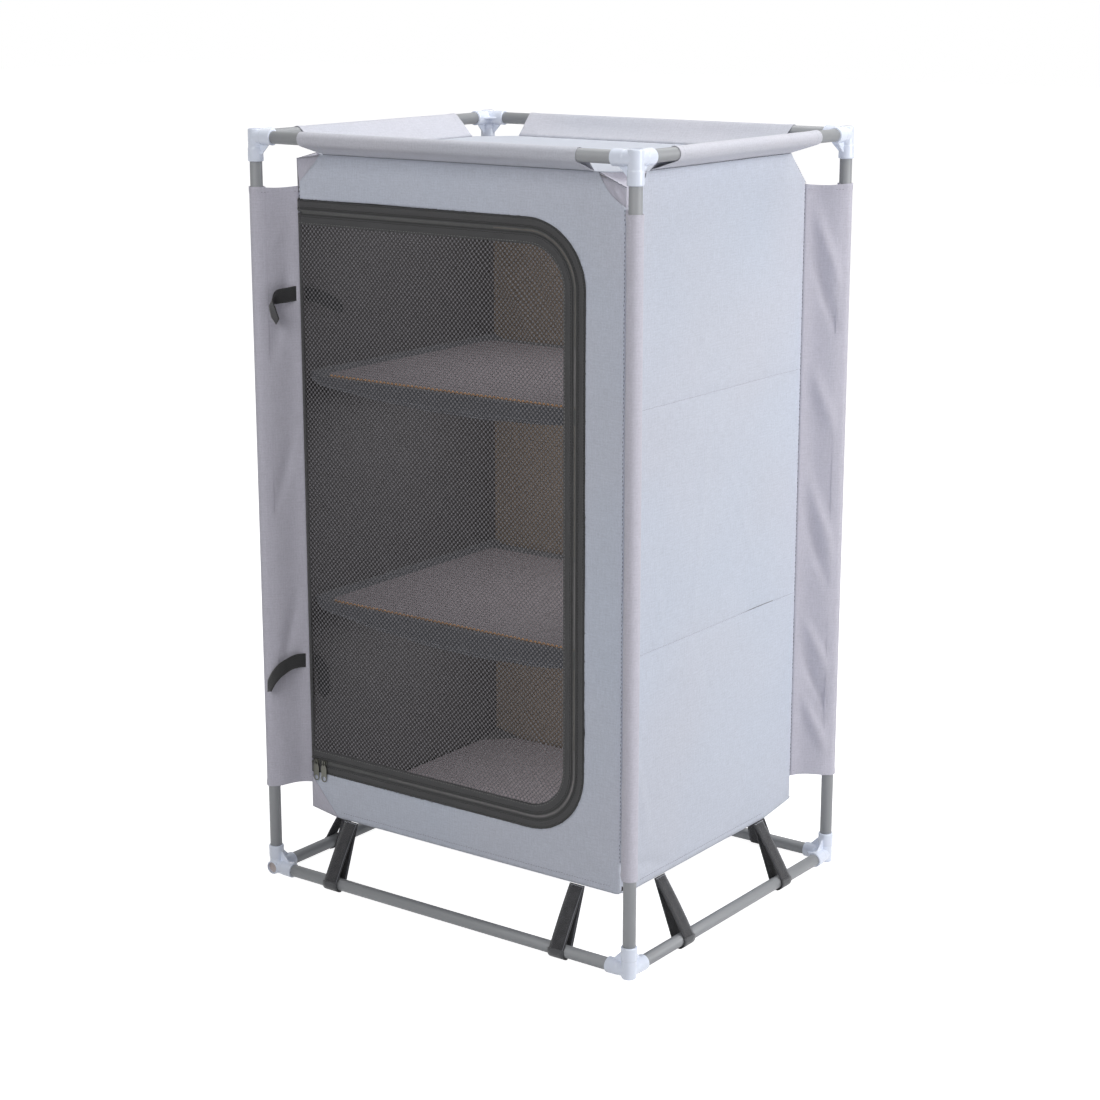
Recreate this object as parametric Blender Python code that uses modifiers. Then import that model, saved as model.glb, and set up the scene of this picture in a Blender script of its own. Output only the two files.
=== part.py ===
"""Fabric camp kitchen cupboard.

A push-fit tube frame with eight corner connectors carries a sewn cloth body
with three shelves, a zipped net door and an open tray on top.
Metres, +Z up. The front looks towards -Y. The origin is on the ground, at the
middle of the frame.
"""

import math

import bmesh
import bpy
from mathutils import Matrix, Vector

# Overall sizes of the standing frame
OVERALL_WIDTH = 0.600
OVERALL_DEPTH = 0.500
OVERALL_HEIGHT = 1.000

# Air left between two pieces that touch or are sewn together
TOUCH_GAP = 0.0003
# How far a cutting tool runs past the face that it cuts
OVERRUN = 0.002
WELD_DISTANCE = 0.00001

# Steel tube of the posts and rails
TUBE_DIAMETER = 0.016
TUBE_WALL = 0.0008
TUBE_SETBACK = 0.0105
SPIGOT_LENGTH = 0.040
SPIGOT_TAPER = 0.002
SPIGOT_PLAY = 0.0003
TUBE_SIDES = 16

# Moulded three-way corner connector
SOCKET_DIAMETER = 0.0192
SOCKET_REACH = 0.0310
RIM_DIAMETER = 0.0204
RIM_WIDTH = 0.0026
RIM_CHAMFER = 0.0006
BLIND_END_ROUNDING = 0.0008
BLIND_END_LIP = 0.0024
BLIND_END_RECESS = 0.0015
WEB_THICKNESS = 0.0022
WEB_REACH = 0.0250
SOCKET_SIDES = 16

# Sewn body
CLOTH = 0.0012
BODY_INSET = 0.036
BODY_LIFT = 0.076
TRAY_DROP = 0.021
CORNER_CUT = 0.040
GUSSET_LAP = 0.0018
WING_END_GAP = 0.0013
WING_SEAM_SETBACK = 0.0040
WING_FOLD_DEPTH = 0.003
WING_FOLDS = 4
WING_FOLD_SLANT = 0.6
SLEEVE_SIDES = 16

# Tray on top
TRAY_THICKNESS = 0.0024
APRON_END_SETBACK = 0.002
SEAM_LAP = 0.004

# Shelves
UPPER_SHELF_HEIGHT = 0.602
LOWER_SHELF_HEIGHT = 0.300
SHELF_BOARD_SIDE_GAP = 0.0218
SHELF_BOARD_FRONT_GAP = 0.0208
SHELF_BOARD_BACK_GAP = 0.0368
SHELF_BOARD_THICKNESS = 0.003
SHELF_BOARD_CORNER = 0.012
SHELF_BOARD_DROP = 0.003
SHELF_FRONT_SETBACK = 0.015
SHELF_CLOTH_FLANK = 0.018
SHELF_BAND_HEIGHT = 0.026
SHELF_BAND_END_HEIGHT = 0.008
BOTTOM_BOARD_MARGIN = 0.006

# Door and its zip
FRONT_BAND = 0.0575
DOOR_CORNER_RADIUS = 0.085
ZIP_TAPE_WIDTH = 0.0140
ZIP_TAPE_THICKNESS = 0.0012
ZIP_COIL_WIDTH = 0.0014
ZIP_COIL_THICKNESS = 0.0020
ZIP_COIL_SPACE = 0.0014
NET_THICKNESS = 0.0008
NET_COLUMNS = 7
NET_ROWS = 11
NET_STRAND = 0.006
NET_BORDER = 0.010
DOOR_HINGE_GAP = 0.0005
CORNER_ARC_STEPS = 7

# Zip slider and pull tab
SLIDER_LENGTH = 0.0115
SLIDER_WIDTH = 0.0090
SLIDER_PLATE = 0.0010
SLIDER_NECK = 0.0008
SLIDER_NECK_LENGTH = 0.0030
SLIDER_EDGE_DISTANCE = 0.0040
SLIDER_PITCH = 0.0135
BAIL_LENGTH = 0.0014
BAIL_SPAN = 0.0056
BAIL_LEG = 0.0008
BAIL_BAR = 0.0008
PULL_LENGTH = 0.0275
PULL_WIDTH = 0.0095
PULL_THICKNESS = 0.0009
PULL_NECK_WIDTH = 0.0056
PULL_WINDOW_LENGTH = 0.0048
PULL_WINDOW_WIDTH = 0.0030
PULL_CROSSBAR = 0.0010
PULL_HOLE_DIAMETER = 0.0060
PULL_HOLE_FROM_END = 0.0047
PULL_ARC_STEPS = 8

# Tie tapes through the door's hinge seam
TIE_WIDTH = 0.019
TIE_THICKNESS = 0.0008
TIE_BELOW_DOOR_TOP = 0.1221
TIE_ABOVE_DOOR_BOTTOM = 0.1535
TIE_OUTER_RUN = 0.034
TIE_DROOP = 0.026
TIE_INNER_DROOP = 0.006
TIE_WING_SPACE = 0.00155
TIE_INNER_RUN = 0.058
TIE_SEAM_RUN = 0.002
TIE_SLOT_PLAY = 0.0005

# Straps of hook-and-loop tape
STRAP_WIDTH = 0.022
STRAP_THICKNESS = 0.0016
STRAP_FRONT_END_GAP = 0.0678
STRAP_SIDE_END_GAP = 0.0848

# Places worked out from the sizes
AXIS_X = OVERALL_WIDTH / 2 - RIM_DIAMETER / 2
AXIS_Y = OVERALL_DEPTH / 2 - RIM_DIAMETER / 2
AXIS_LOW = RIM_DIAMETER / 2
AXIS_HIGH = OVERALL_HEIGHT - RIM_DIAMETER / 2
TUBE_RADIUS = TUBE_DIAMETER / 2
BODY_X = AXIS_X - BODY_INSET
BODY_Y = AXIS_Y - BODY_INSET
BODY_LOW = AXIS_LOW + BODY_LIFT
BODY_HIGH = AXIS_HIGH - TRAY_DROP
TRAY_STACK = TRAY_THICKNESS + TOUCH_GAP
WALL_HIGH = BODY_HIGH - TRAY_STACK
UPPER_SEAM = BODY_LOW + UPPER_SHELF_HEIGHT
LOWER_SEAM = BODY_LOW + LOWER_SHELF_HEIGHT
DOOR_PLANE = -BODY_Y + CLOTH / 2
DOOR_TOP = BODY_HIGH - FRONT_BAND
DOOR_BOTTOM = BODY_LOW + FRONT_BAND
DOOR_RIGHT = BODY_X - FRONT_BAND
DOOR_LEFT = -BODY_X
TIE_UPPER = DOOR_TOP - TIE_BELOW_DOOR_TOP
TIE_LOWER = DOOR_BOTTOM + TIE_ABOVE_DOOR_BOTTOM
COIL_LINE = ZIP_TAPE_WIDTH + ZIP_COIL_WIDTH + ZIP_COIL_SPACE / 2
DOOR_SIDE_COIL = COIL_LINE + ZIP_COIL_SPACE / 2
DOOR_SIDE_TAPE = DOOR_SIDE_COIL + ZIP_COIL_WIDTH
NET_EDGE = DOOR_SIDE_TAPE + ZIP_TAPE_WIDTH + TOUCH_GAP

CORNERS = {
    "front_left": (-1, -1),
    "front_right": (1, -1),
    "rear_left": (-1, 1),
    "rear_right": (1, 1),
}

# Finishes: colour, roughness, metallic
FINISHES = {
    "tube_paint": ((0.27, 0.27, 0.265), 0.35, 0.6),
    "connector_plastic": ((0.80, 0.84, 0.92), 0.25, 0.0),
    "body_cloth": ((0.52, 0.53, 0.58), 0.85, 0.0),
    "wing_cloth": ((0.48, 0.47, 0.52), 0.85, 0.0),
    "shelf_cloth": ((0.16, 0.17, 0.18), 0.85, 0.0),
    "shelf_board": ((0.42, 0.39, 0.40), 0.60, 0.0),
    "zip_tape": ((0.055, 0.055, 0.055), 0.80, 0.0),
    "door_net": ((0.050, 0.050, 0.048), 0.75, 0.0),
    "zip_metal": ((0.16, 0.16, 0.145), 0.35, 0.9),
    "tie_tape": ((0.015, 0.015, 0.016), 0.80, 0.0),
    "strap_tape": ((0.060, 0.060, 0.066), 0.90, 0.0),
}


# Scene, collections and materials

def clear_scene():
    for old in list(bpy.data.objects):
        bpy.data.objects.remove(old, do_unlink=True)


def new_collection(name):
    collection = bpy.data.collections.new(name)
    bpy.context.scene.collection.children.link(collection)
    return collection


def finish_material(node_name, finish):
    colour, roughness, metallic = FINISHES[finish]
    material = bpy.data.materials.new(node_name + "_" + finish)
    material.use_nodes = True
    shader = material.node_tree.nodes["Principled BSDF"]
    shader.inputs["Base Color"].default_value = (*colour, 1)
    shader.inputs["Roughness"].default_value = roughness
    shader.inputs["Metallic"].default_value = metallic
    material.diffuse_color = (*colour, 1)
    return material


def add_part(name, data, finish, matrix=None):
    """Link one named sub-part and give it its own material slot."""
    part = bpy.data.objects.new(name, data)
    PARTS.objects.link(part)
    if matrix is not None:
        part.matrix_world = matrix
    if not data.materials:
        data.materials.append(None)
    part.material_slots[0].link = "OBJECT"
    part.material_slots[0].material = finish_material(name, finish)
    return part


def add_tool(name, data, matrix=None):
    """Link a guide or cutting shape that isn't part of the object."""
    tool = bpy.data.objects.new(name, data)
    TOOLS.objects.link(tool)
    tool.hide_render = True
    tool.display_type = "WIRE"
    if matrix is not None:
        tool.matrix_world = matrix
    return tool


# Shapes that several sub-parts use

def evaluated_mesh(source):
    """The shape of an object after its modifiers, as a welded mesh."""
    graph = bpy.context.evaluated_depsgraph_get()
    mesh = bpy.data.meshes.new_from_object(source.evaluated_get(graph))
    work = bmesh.new()
    work.from_mesh(mesh)
    bmesh.ops.remove_doubles(work, verts=work.verts, dist=WELD_DISTANCE)
    work.to_mesh(mesh)
    work.free()
    return mesh


def smooth(mesh, angle=math.radians(35)):
    mesh.shade_smooth()
    mesh.set_sharp_from_angle(angle=angle)
    return mesh


def box_mesh(name, low, high):
    work = bmesh.new()
    bmesh.ops.create_cube(work, size=1)
    size = Vector(high) - Vector(low)
    middle = (Vector(high) + Vector(low)) / 2
    bmesh.ops.scale(work, vec=size, verts=work.verts)
    bmesh.ops.translate(work, vec=middle, verts=work.verts)
    mesh = bpy.data.meshes.new(name)
    work.to_mesh(mesh)
    work.free()
    return mesh


def rod_mesh(name, radius, low, high, sides):
    """A solid round bar along Z."""
    work = bmesh.new()
    bmesh.ops.create_cone(work, cap_ends=True, segments=sides, radius1=radius,
                          radius2=radius, depth=high - low)
    bmesh.ops.translate(work, vec=(0, 0, (high + low) / 2), verts=work.verts)
    mesh = bpy.data.meshes.new(name)
    work.to_mesh(mesh)
    work.free()
    return mesh


def turned_object(name, profile, closed, sides):
    """A profile of (radius, height) turned about Z."""
    mesh = bpy.data.meshes.new(name)
    edges = [(i, i + 1) for i in range(len(profile) - 1)]
    if closed:
        edges.append((len(profile) - 1, 0))
    mesh.from_pydata([(radius, 0, height) for radius, height in profile], edges, [])
    turned = add_tool(name, mesh)
    screw = turned.modifiers.new("turn", "SCREW")
    screw.axis = "Z"
    screw.angle = math.tau
    screw.steps = sides
    screw.render_steps = sides
    screw.use_merge_vertices = True
    screw.merge_threshold = WELD_DISTANCE
    return turned


def turned_mesh(name, profile, closed, sides):
    turned = turned_object(name, profile, closed, sides)
    mesh = smooth(evaluated_mesh(turned))
    bpy.data.objects.remove(turned, do_unlink=True)
    return mesh


def outline_curve(name, outlines, thickness):
    """Flat plate in the curve's own XY plane, cut to one outline with holes."""
    curve = bpy.data.curves.new(name, "CURVE")
    curve.dimensions = "2D"
    curve.fill_mode = "BOTH"
    curve.extrude = thickness / 2
    for points in outlines:
        spline = curve.splines.new("POLY")
        spline.points.add(len(points) - 1)
        for point, (across, up) in zip(spline.points, points):
            point.co = (across, up, 0, 1)
        spline.use_cyclic_u = True
    return curve


def combined_mesh(base, joined, cuts):
    """Join shapes to a base and cut others away: the result in world places."""
    for tool, operation in [(t, "UNION") for t in joined] + [(t, "DIFFERENCE") for t in cuts]:
        step = base.modifiers.new(tool.name, "BOOLEAN")
        step.operation = operation
        step.object = tool
        step.solver = "EXACT"
    mesh = evaluated_mesh(base)
    mesh.transform(base.matrix_world)
    for used in [base, *joined, *cuts]:
        bpy.data.objects.remove(used, do_unlink=True)
    return mesh


def facing_front(y):
    """Turns a flat outline upright, its plane facing -Y, at this depth."""
    return Matrix.Translation((0, y, 0)) @ Matrix.Rotation(math.radians(90), 4, "X")


def facing_side(x):
    """Turns a flat outline upright, its plane facing +X, its width along Y."""
    turn = Matrix(((0, 0, 1, 0), (1, 0, 0, 0), (0, 1, 0, 0), (0, 0, 0, 1)))
    return Matrix.Translation((x, 0, 0)) @ turn


def arc(centre, radius, start, end, steps):
    """Points of an arc, angles in degrees."""
    points = []
    for i in range(steps + 1):
        angle = math.radians(start + (end - start) * i / steps)
        points.append((centre[0] + radius * math.cos(angle), centre[1] + radius * math.sin(angle)))
    return points


def loop_section(tip, bar_radius, thickness):
    """Cloth that runs round a bar and back to a seam: outer and inner outline.

    The bar is at the origin and the seam at tip. Both faces run straight from
    the seam to the bar, and the two layers are sewn together at the seam.
    """
    along = Vector(tip)
    reach = along.length
    along.normalize()
    heading = math.degrees(math.atan2(along.y, along.x))
    inner = bar_radius + TOUCH_GAP
    outer = inner + thickness
    spread = math.degrees(math.acos(inner / reach))
    outer_points = arc((0, 0), outer, heading + spread, heading + 360 - spread, 14)
    outer_points += arc(tip, thickness, heading - spread, heading + spread, 2)
    inner_points = arc((0, 0), inner, heading + spread, heading + 360 - spread, 14)
    lap = SEAM_LAP
    across = Vector((-along.y, along.x))
    open_half = lap / math.tan(math.radians(spread))
    end = Vector(tip) - along * lap
    inner_points.append(tuple(end - across * open_half))
    inner_points.append(tuple(end + across * open_half))
    return outer_points, inner_points


# Tube frame

def make_tubes():
    """Rails in one length, posts in two lengths with a swaged spigot."""
    inner = TUBE_RADIUS - TUBE_WALL

    def plain_tube(name, length):
        half = length / 2
        profile = [(TUBE_RADIUS, half), (TUBE_RADIUS, -half), (inner, -half), (inner, half)]
        return turned_mesh(name, profile, True, TUBE_SIDES)

    wide = plain_tube("width_rail", 2 * (AXIS_X - TUBE_SETBACK))
    deep = plain_tube("depth_rail", 2 * (AXIS_Y - TUBE_SETBACK))
    along_x = Matrix.Rotation(math.radians(90), 4, "Y")
    along_y = Matrix.Rotation(math.radians(90), 4, "X")
    for level, height in (("top", AXIS_HIGH), ("bottom", AXIS_LOW)):
        for side, sign in (("front", -1), ("rear", 1)):
            place = Matrix.Translation((0, sign * AXIS_Y, height)) @ along_x
            add_part(level + "_rail_" + side, wide, "tube_paint", place)
        for side, sign in (("left", -1), ("right", 1)):
            place = Matrix.Translation((sign * AXIS_X, 0, height)) @ along_y
            add_part(level + "_rail_" + side, deep, "tube_paint", place)

    post_low = AXIS_LOW + TUBE_SETBACK
    post_high = AXIS_HIGH - TUBE_SETBACK
    joint = (post_low + post_high) / 2
    lower = plain_tube("lower_post", joint - TOUCH_GAP - post_low)
    spigot = inner - SPIGOT_PLAY
    spigot_inner = spigot - TUBE_WALL
    neck = joint - SPIGOT_TAPER
    profile = [
        (TUBE_RADIUS, post_high), (TUBE_RADIUS, joint), (spigot, joint),
        (spigot, joint - SPIGOT_LENGTH), (spigot_inner, joint - SPIGOT_LENGTH),
        (spigot_inner, neck), (spigot_inner, joint), (inner, joint + SPIGOT_TAPER),
        (inner, post_high),
    ]
    upper = turned_mesh("upper_post", profile, True, TUBE_SIDES)
    for corner, (sx, sy) in CORNERS.items():
        lower_middle = (post_low + joint - TOUCH_GAP) / 2
        place = Matrix.Translation((sx * AXIS_X, sy * AXIS_Y, lower_middle))
        add_part("lower_post_" + corner, lower, "tube_paint", place)
        place = Matrix.Translation((sx * AXIS_X, sy * AXIS_Y, 0))
        add_part("upper_post_" + corner, upper, "tube_paint", place)


def connector_mesh():
    """Three sockets along +X, +Y and +Z, thin webs between them, blind end at -Z."""
    socket = SOCKET_DIAMETER / 2
    rim = RIM_DIAMETER / 2
    mouth = SOCKET_REACH
    blind = -rim
    round_off = BLIND_END_ROUNDING
    lip_start = mouth - RIM_WIDTH
    collar = [(0, mouth), (rim, mouth), (rim, lip_start + RIM_CHAMFER), (socket, lip_start)]
    through = collar + [(socket, blind + round_off), (socket - round_off, blind), (0, blind)]
    side = collar + [(socket, 0), (0, 0)]
    base = turned_object("through_socket", through, False, SOCKET_SIDES)
    arm_x = turned_object("socket_x", side, False, SOCKET_SIDES)
    arm_x.matrix_world = Matrix.Rotation(math.radians(90), 4, "Y")
    arm_y = turned_object("socket_y", side, False, SOCKET_SIDES)
    arm_y.matrix_world = Matrix.Rotation(math.radians(-90), 4, "X")

    def web(name, turn):
        root = (socket + TUBE_RADIUS) / 2
        outline = [(0, 0), (WEB_REACH, 0), (WEB_REACH, root), (root, WEB_REACH), (0, WEB_REACH)]
        flat = add_tool(name + "_outline", outline_curve(name, [outline], WEB_THICKNESS))
        solid = add_tool(name, evaluated_mesh(flat), turn)
        bpy.data.objects.remove(flat, do_unlink=True)
        return solid

    webs = [
        web("web_xy", Matrix.Identity(4)),
        web("web_xz", Matrix.Rotation(math.radians(90), 4, "X")),
        web("web_yz", Matrix.Rotation(math.radians(-90), 4, "Y")),
    ]
    bore_radius = TUBE_RADIUS + TOUCH_GAP
    bore_end = TUBE_SETBACK - TOUCH_GAP
    bores = []
    for name, turn in (("bore_x", Matrix.Rotation(math.radians(90), 4, "Y")),
                       ("bore_y", Matrix.Rotation(math.radians(-90), 4, "X")),
                       ("bore_z", Matrix.Identity(4))):
        rod = rod_mesh(name, bore_radius, bore_end, mouth + OVERRUN, SOCKET_SIDES)
        bores.append(add_tool(name, rod, turn))
    recess = rod_mesh("end_recess", socket - BLIND_END_LIP, blind - OVERRUN,
                      blind + BLIND_END_RECESS, SOCKET_SIDES)
    bores.append(add_tool("end_recess", recess))
    bpy.context.view_layer.update()
    mesh = combined_mesh(base, [arm_x, arm_y, *webs], bores)
    return smooth(mesh, math.radians(30))


def make_connectors():
    shared = connector_mesh()
    for level, up, height in (("bottom", 1, AXIS_LOW), ("top", -1, AXIS_HIGH)):
        for corner, (sx, sy) in CORNERS.items():
            inward = [Vector((-sx, 0, 0)), Vector((0, -sy, 0)), Vector((0, 0, up))]
            # The front left foot is pushed on with its blind end to the front
            through = 1 if (level, corner) == ("bottom", "front_left") else 2
            main = inward.pop(through)
            if inward[0].cross(inward[1]).dot(main) < 0:
                inward.reverse()
            turn = Matrix((inward[0], inward[1], main)).transposed().to_4x4()
            place = Matrix.Translation((sx * AXIS_X, sy * AXIS_Y, height)) @ turn
            add_part("connector_" + level + "_" + corner, shared, "connector_plastic", place)


# Sewn body

def cut_corner_outline(half, low, high, low_step, high_step):
    """A wall with all four corners cut off, in step with the gussets' planes."""
    cut = CORNER_CUT
    return [
        (-half, low + cut - low_step), (-half + cut - low_step, low),
        (half - cut + low_step, low), (half, low + cut - low_step),
        (half, high - cut + high_step), (half - cut + high_step, high),
        (-half + cut - high_step, high), (-half, high - cut + high_step),
    ]


def door_path(inset):
    """Rounded edge of the door, from top left round to bottom left."""
    radius = DOOR_CORNER_RADIUS - inset
    top = DOOR_TOP - inset
    bottom = DOOR_BOTTOM + inset
    centre_x = DOOR_RIGHT - DOOR_CORNER_RADIUS
    upper = (centre_x, DOOR_TOP - DOOR_CORNER_RADIUS)
    lower = (centre_x, DOOR_BOTTOM + DOOR_CORNER_RADIUS)
    path = [(DOOR_LEFT, top)]
    path += arc(upper, radius, 90, 0, CORNER_ARC_STEPS)
    path += arc(lower, radius, 0, -90, CORNER_ARC_STEPS)
    path.append((DOOR_LEFT, bottom))
    return path


def shifted_left_end(path, shift):
    """Moves the two ends of a door path in from the hinge seam."""
    first, *between, last = path
    return [(first[0] + shift, first[1]), *between, (last[0] + shift, last[1])]


def make_front_wall():
    """One cut of cloth round the door, open on the hinge side."""
    left, right = -BODY_X, BODY_X
    cut = CORNER_CUT
    outline = [
        (left, BODY_HIGH - cut), (left + cut - TRAY_STACK, WALL_HIGH),
        (right - cut + TRAY_STACK, WALL_HIGH), (right, BODY_HIGH - cut),
        (right, BODY_LOW + cut), (right - cut, BODY_LOW),
        (left + cut, BODY_LOW), (left, BODY_LOW + cut),
    ]
    outline += list(reversed(door_path(0)))
    curve = outline_curve("front_wall", [outline], CLOTH)
    add_part("front_wall", curve, "body_cloth", facing_front(DOOR_PLANE))


def make_walls():
    back = cut_corner_outline(BODY_X, BODY_LOW, WALL_HIGH, 0, TRAY_STACK)
    curve = outline_curve("back_wall", [back], CLOTH)
    add_part("back_wall", curve, "body_cloth", facing_front(BODY_Y - CLOTH / 2))
    fold = max(CLOTH, (CLOTH + ZIP_COIL_THICKNESS) / 2) + TOUCH_GAP
    half = BODY_Y - fold
    cut = CORNER_CUT - fold
    side = [
        (-half, BODY_LOW + cut), (-half + cut, BODY_LOW),
        (half - cut, BODY_LOW), (half, BODY_LOW + cut),
        (half, BODY_HIGH - cut), (half - cut + TRAY_STACK, WALL_HIGH),
        (-half + cut - TRAY_STACK, WALL_HIGH), (-half, BODY_HIGH - cut),
    ]
    slots = []
    slot_depth = tie_line(-TIE_SEAM_RUN).y + TIE_THICKNESS
    slot_half = TIE_WIDTH / 2 + TIE_SLOT_PLAY
    for height in (TIE_UPPER, TIE_LOWER):
        slots += [(-half, height + slot_half), (slot_depth, height + slot_half),
                  (slot_depth, height - slot_half), (-half, height - slot_half)]
    for name, sign, outline in (("left_wall", -1, side + slots), ("right_wall", 1, side)):
        curve = outline_curve(name, [outline], CLOTH)
        add_part(name, curve, "body_cloth", facing_side(sign * (BODY_X - CLOTH / 2)))


def octagon(half_x, half_y, cut):
    return [
        (-half_x + cut, -half_y), (half_x - cut, -half_y), (half_x, -half_y + cut),
        (half_x, half_y - cut), (half_x - cut, half_y), (-half_x + cut, half_y),
        (-half_x, half_y - cut), (-half_x, -half_y + cut),
    ]


def corner_gussets(seam, up):
    """Triangles of cloth over the cut corners, as tools to be joined."""
    cut = CORNER_CUT
    gussets = []
    for corner, (sx, sy) in CORNERS.items():
        outward = Vector((sx, sy, -up)).normalized()
        work = bmesh.new()
        rise = (TOUCH_GAP + CLOTH) * abs(outward.z)
        base = [
            Vector((sx * (BODY_X - cut + rise), sy * BODY_Y, seam + up * rise)),
            Vector((sx * BODY_X, sy * (BODY_Y - cut + rise), seam + up * rise)),
            Vector((sx * BODY_X, sy * BODY_Y, seam + up * cut)),
        ]
        face = work.faces.new([work.verts.new(point + outward * TOUCH_GAP) for point in base])
        raised = bmesh.ops.extrude_face_region(work, geom=[face])
        moved = [v for v in raised["geom"] if isinstance(v, bmesh.types.BMVert)]
        bmesh.ops.translate(work, vec=outward * CLOTH, verts=moved)
        bmesh.ops.recalc_face_normals(work, faces=work.faces)
        mesh = bpy.data.meshes.new("gusset_" + corner)
        work.to_mesh(mesh)
        work.free()
        gussets.append(add_tool("gusset_" + corner, mesh))
    return gussets


def slab_object(name, outline, thickness, middle):
    """A level slab of this outline, as a mesh that takes cuts and joins."""
    flat = add_tool(name + "_outline", outline_curve(name, [outline], thickness))
    slab = add_tool(name, evaluated_mesh(flat), Matrix.Translation((0, 0, middle)))
    bpy.data.objects.remove(flat, do_unlink=True)
    return slab


def make_floor():
    fold = CLOTH + TOUCH_GAP
    cut = CORNER_CUT - 2 * fold - GUSSET_LAP * math.sqrt(2)
    outline = octagon(BODY_X - fold, BODY_Y - fold, cut)
    slab = slab_object("floor_slab", outline, CLOTH, BODY_LOW + CLOTH / 2)
    gussets = corner_gussets(BODY_LOW, 1)
    bpy.context.view_layer.update()
    add_part("floor_panel", combined_mesh(slab, gussets, []), "body_cloth")
    margin = fold + BOTTOM_BOARD_MARGIN
    outline = octagon(BODY_X - margin, BODY_Y - margin, CORNER_CUT)
    curve = outline_curve("bottom_board", [outline], SHELF_BOARD_THICKNESS)
    height = BODY_LOW + CLOTH + TOUCH_GAP + SHELF_BOARD_THICKNESS / 2
    add_part("bottom_board", curve, "shelf_board", Matrix.Translation((0, 0, height)))


def make_wings():
    """Diagonal cloth from each body corner to a sleeve round the post."""
    low = BODY_LOW + CORNER_CUT + WING_END_GAP
    high = BODY_HIGH - CORNER_CUT - WING_END_GAP
    inner = TUBE_RADIUS + TOUCH_GAP
    outer = inner + CLOTH
    columns = 4
    rows = 5 * WING_FOLDS
    profile = [(outer, high), (outer, low), (inner, low), (inner, high)]
    for corner, (sx, sy) in CORNERS.items():
        seam = Vector((sx * (BODY_X + TOUCH_GAP + CLOTH / 2), sy * (BODY_Y - WING_SEAM_SETBACK), 0))
        post = Vector((sx * AXIS_X, sy * AXIS_Y, 0))
        along = (post - seam).normalized()
        reach = (post - seam).length - (inner + outer) / 2
        away = Vector((abs(along.y) * sx, -abs(along.x) * sy, 0))
        work = bmesh.new()
        grid = []
        for i in range(rows + 1):
            height = low + (high - low) * i / rows
            line = []
            for j in range(columns + 1):
                share = j / columns
                phase = math.tau * (WING_FOLDS * i / rows + WING_FOLD_SLANT * share)
                swell = math.sin(math.pi * share) * (1 - math.cos(phase)) / 2
                place = seam + along * (reach * share) + away * (WING_FOLD_DEPTH * swell)
                line.append(work.verts.new((place.x, place.y, height)))
            grid.append(line)
        for i in range(rows):
            for j in range(columns):
                quad = (grid[i][j], grid[i][j + 1], grid[i + 1][j + 1], grid[i + 1][j])
                work.faces.new(quad)
        mesh = bpy.data.meshes.new("wing_cloth_" + corner)
        work.to_mesh(mesh)
        work.free()
        cloth = add_tool("wing_cloth_" + corner, mesh)
        shell = cloth.modifiers.new("cloth", "SOLIDIFY")
        shell.thickness = CLOTH
        shell.offset = 0
        sleeve = turned_object("sleeve_" + corner, profile, True, SLEEVE_SIDES)
        sleeve.matrix_world = Matrix.Translation((post.x, post.y, 0))
        bpy.context.view_layer.update()
        wing = smooth(combined_mesh(sleeve, [cloth], []))
        add_part("wing_" + corner, wing, "wing_cloth")


# Tray on top

def make_tray():
    """The tray's floor, two layers of cloth, with the gussets at its corners."""
    outline = octagon(BODY_X, BODY_Y, CORNER_CUT - GUSSET_LAP * math.sqrt(2))
    slab = slab_object("tray_slab", outline, TRAY_THICKNESS, BODY_HIGH - TRAY_THICKNESS / 2)
    gussets = corner_gussets(BODY_HIGH, -1)
    bpy.context.view_layer.update()
    add_part("tray_floor", combined_mesh(slab, gussets, []), "body_cloth")


def make_aprons():
    """Cloth from the tray's edge up and round each top rail."""
    seam_out = TOUCH_GAP + CLOTH
    tip = (BODY_INSET - seam_out, -TRAY_DROP - CLOTH)
    section = loop_section(tip, TUBE_RADIUS, CLOTH)
    long_run = 2 * (BODY_X - CORNER_CUT - APRON_END_SETBACK)
    short_run = 2 * (BODY_Y - CORNER_CUT - APRON_END_SETBACK)
    sides = {
        "front": ((0, -AXIS_Y), 90, long_run),
        "right": ((AXIS_X, 0), 180, short_run),
        "rear": ((0, AXIS_Y), 270, long_run),
        "left": ((-AXIS_X, 0), 0, short_run),
    }
    upright = Matrix.Rotation(math.radians(90), 4, "X")
    for side, ((x, y), turn, run) in sides.items():
        curve = outline_curve("apron_" + side, section, run)
        place = Matrix.Translation((x, y, AXIS_HIGH))
        place = place @ Matrix.Rotation(math.radians(turn), 4, "Z") @ upright
        add_part("apron_" + side, curve, "body_cloth", place)


# Straps

def make_straps():
    """Loops of tape from the bottom seam round each bottom rail, two a side."""
    tip = (BODY_INSET + CLOTH / 2, BODY_LIFT - TOUCH_GAP - STRAP_THICKNESS)
    section = loop_section(tip, TUBE_RADIUS, STRAP_THICKNESS)
    upright = Matrix.Rotation(math.radians(90), 4, "X")
    near = BODY_X - STRAP_FRONT_END_GAP
    side = BODY_Y - STRAP_SIDE_END_GAP
    places = {
        "front_left": (-near, -AXIS_Y, 90), "front_right": (near, -AXIS_Y, 90),
        "rear_left": (-near, AXIS_Y, 270), "rear_right": (near, AXIS_Y, 270),
        "left_front": (-AXIS_X, -side, 0), "left_rear": (-AXIS_X, side, 0),
        "right_front": (AXIS_X, -side, 180), "right_rear": (AXIS_X, side, 180),
    }
    for spot, (x, y, turn) in places.items():
        curve = outline_curve("strap_" + spot, section, STRAP_WIDTH)
        place = Matrix.Translation((x, y, AXIS_LOW))
        place = place @ Matrix.Rotation(math.radians(turn), 4, "Z") @ upright
        add_part("strap_" + spot, curve, "strap_tape", place)


# Shelves

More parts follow.
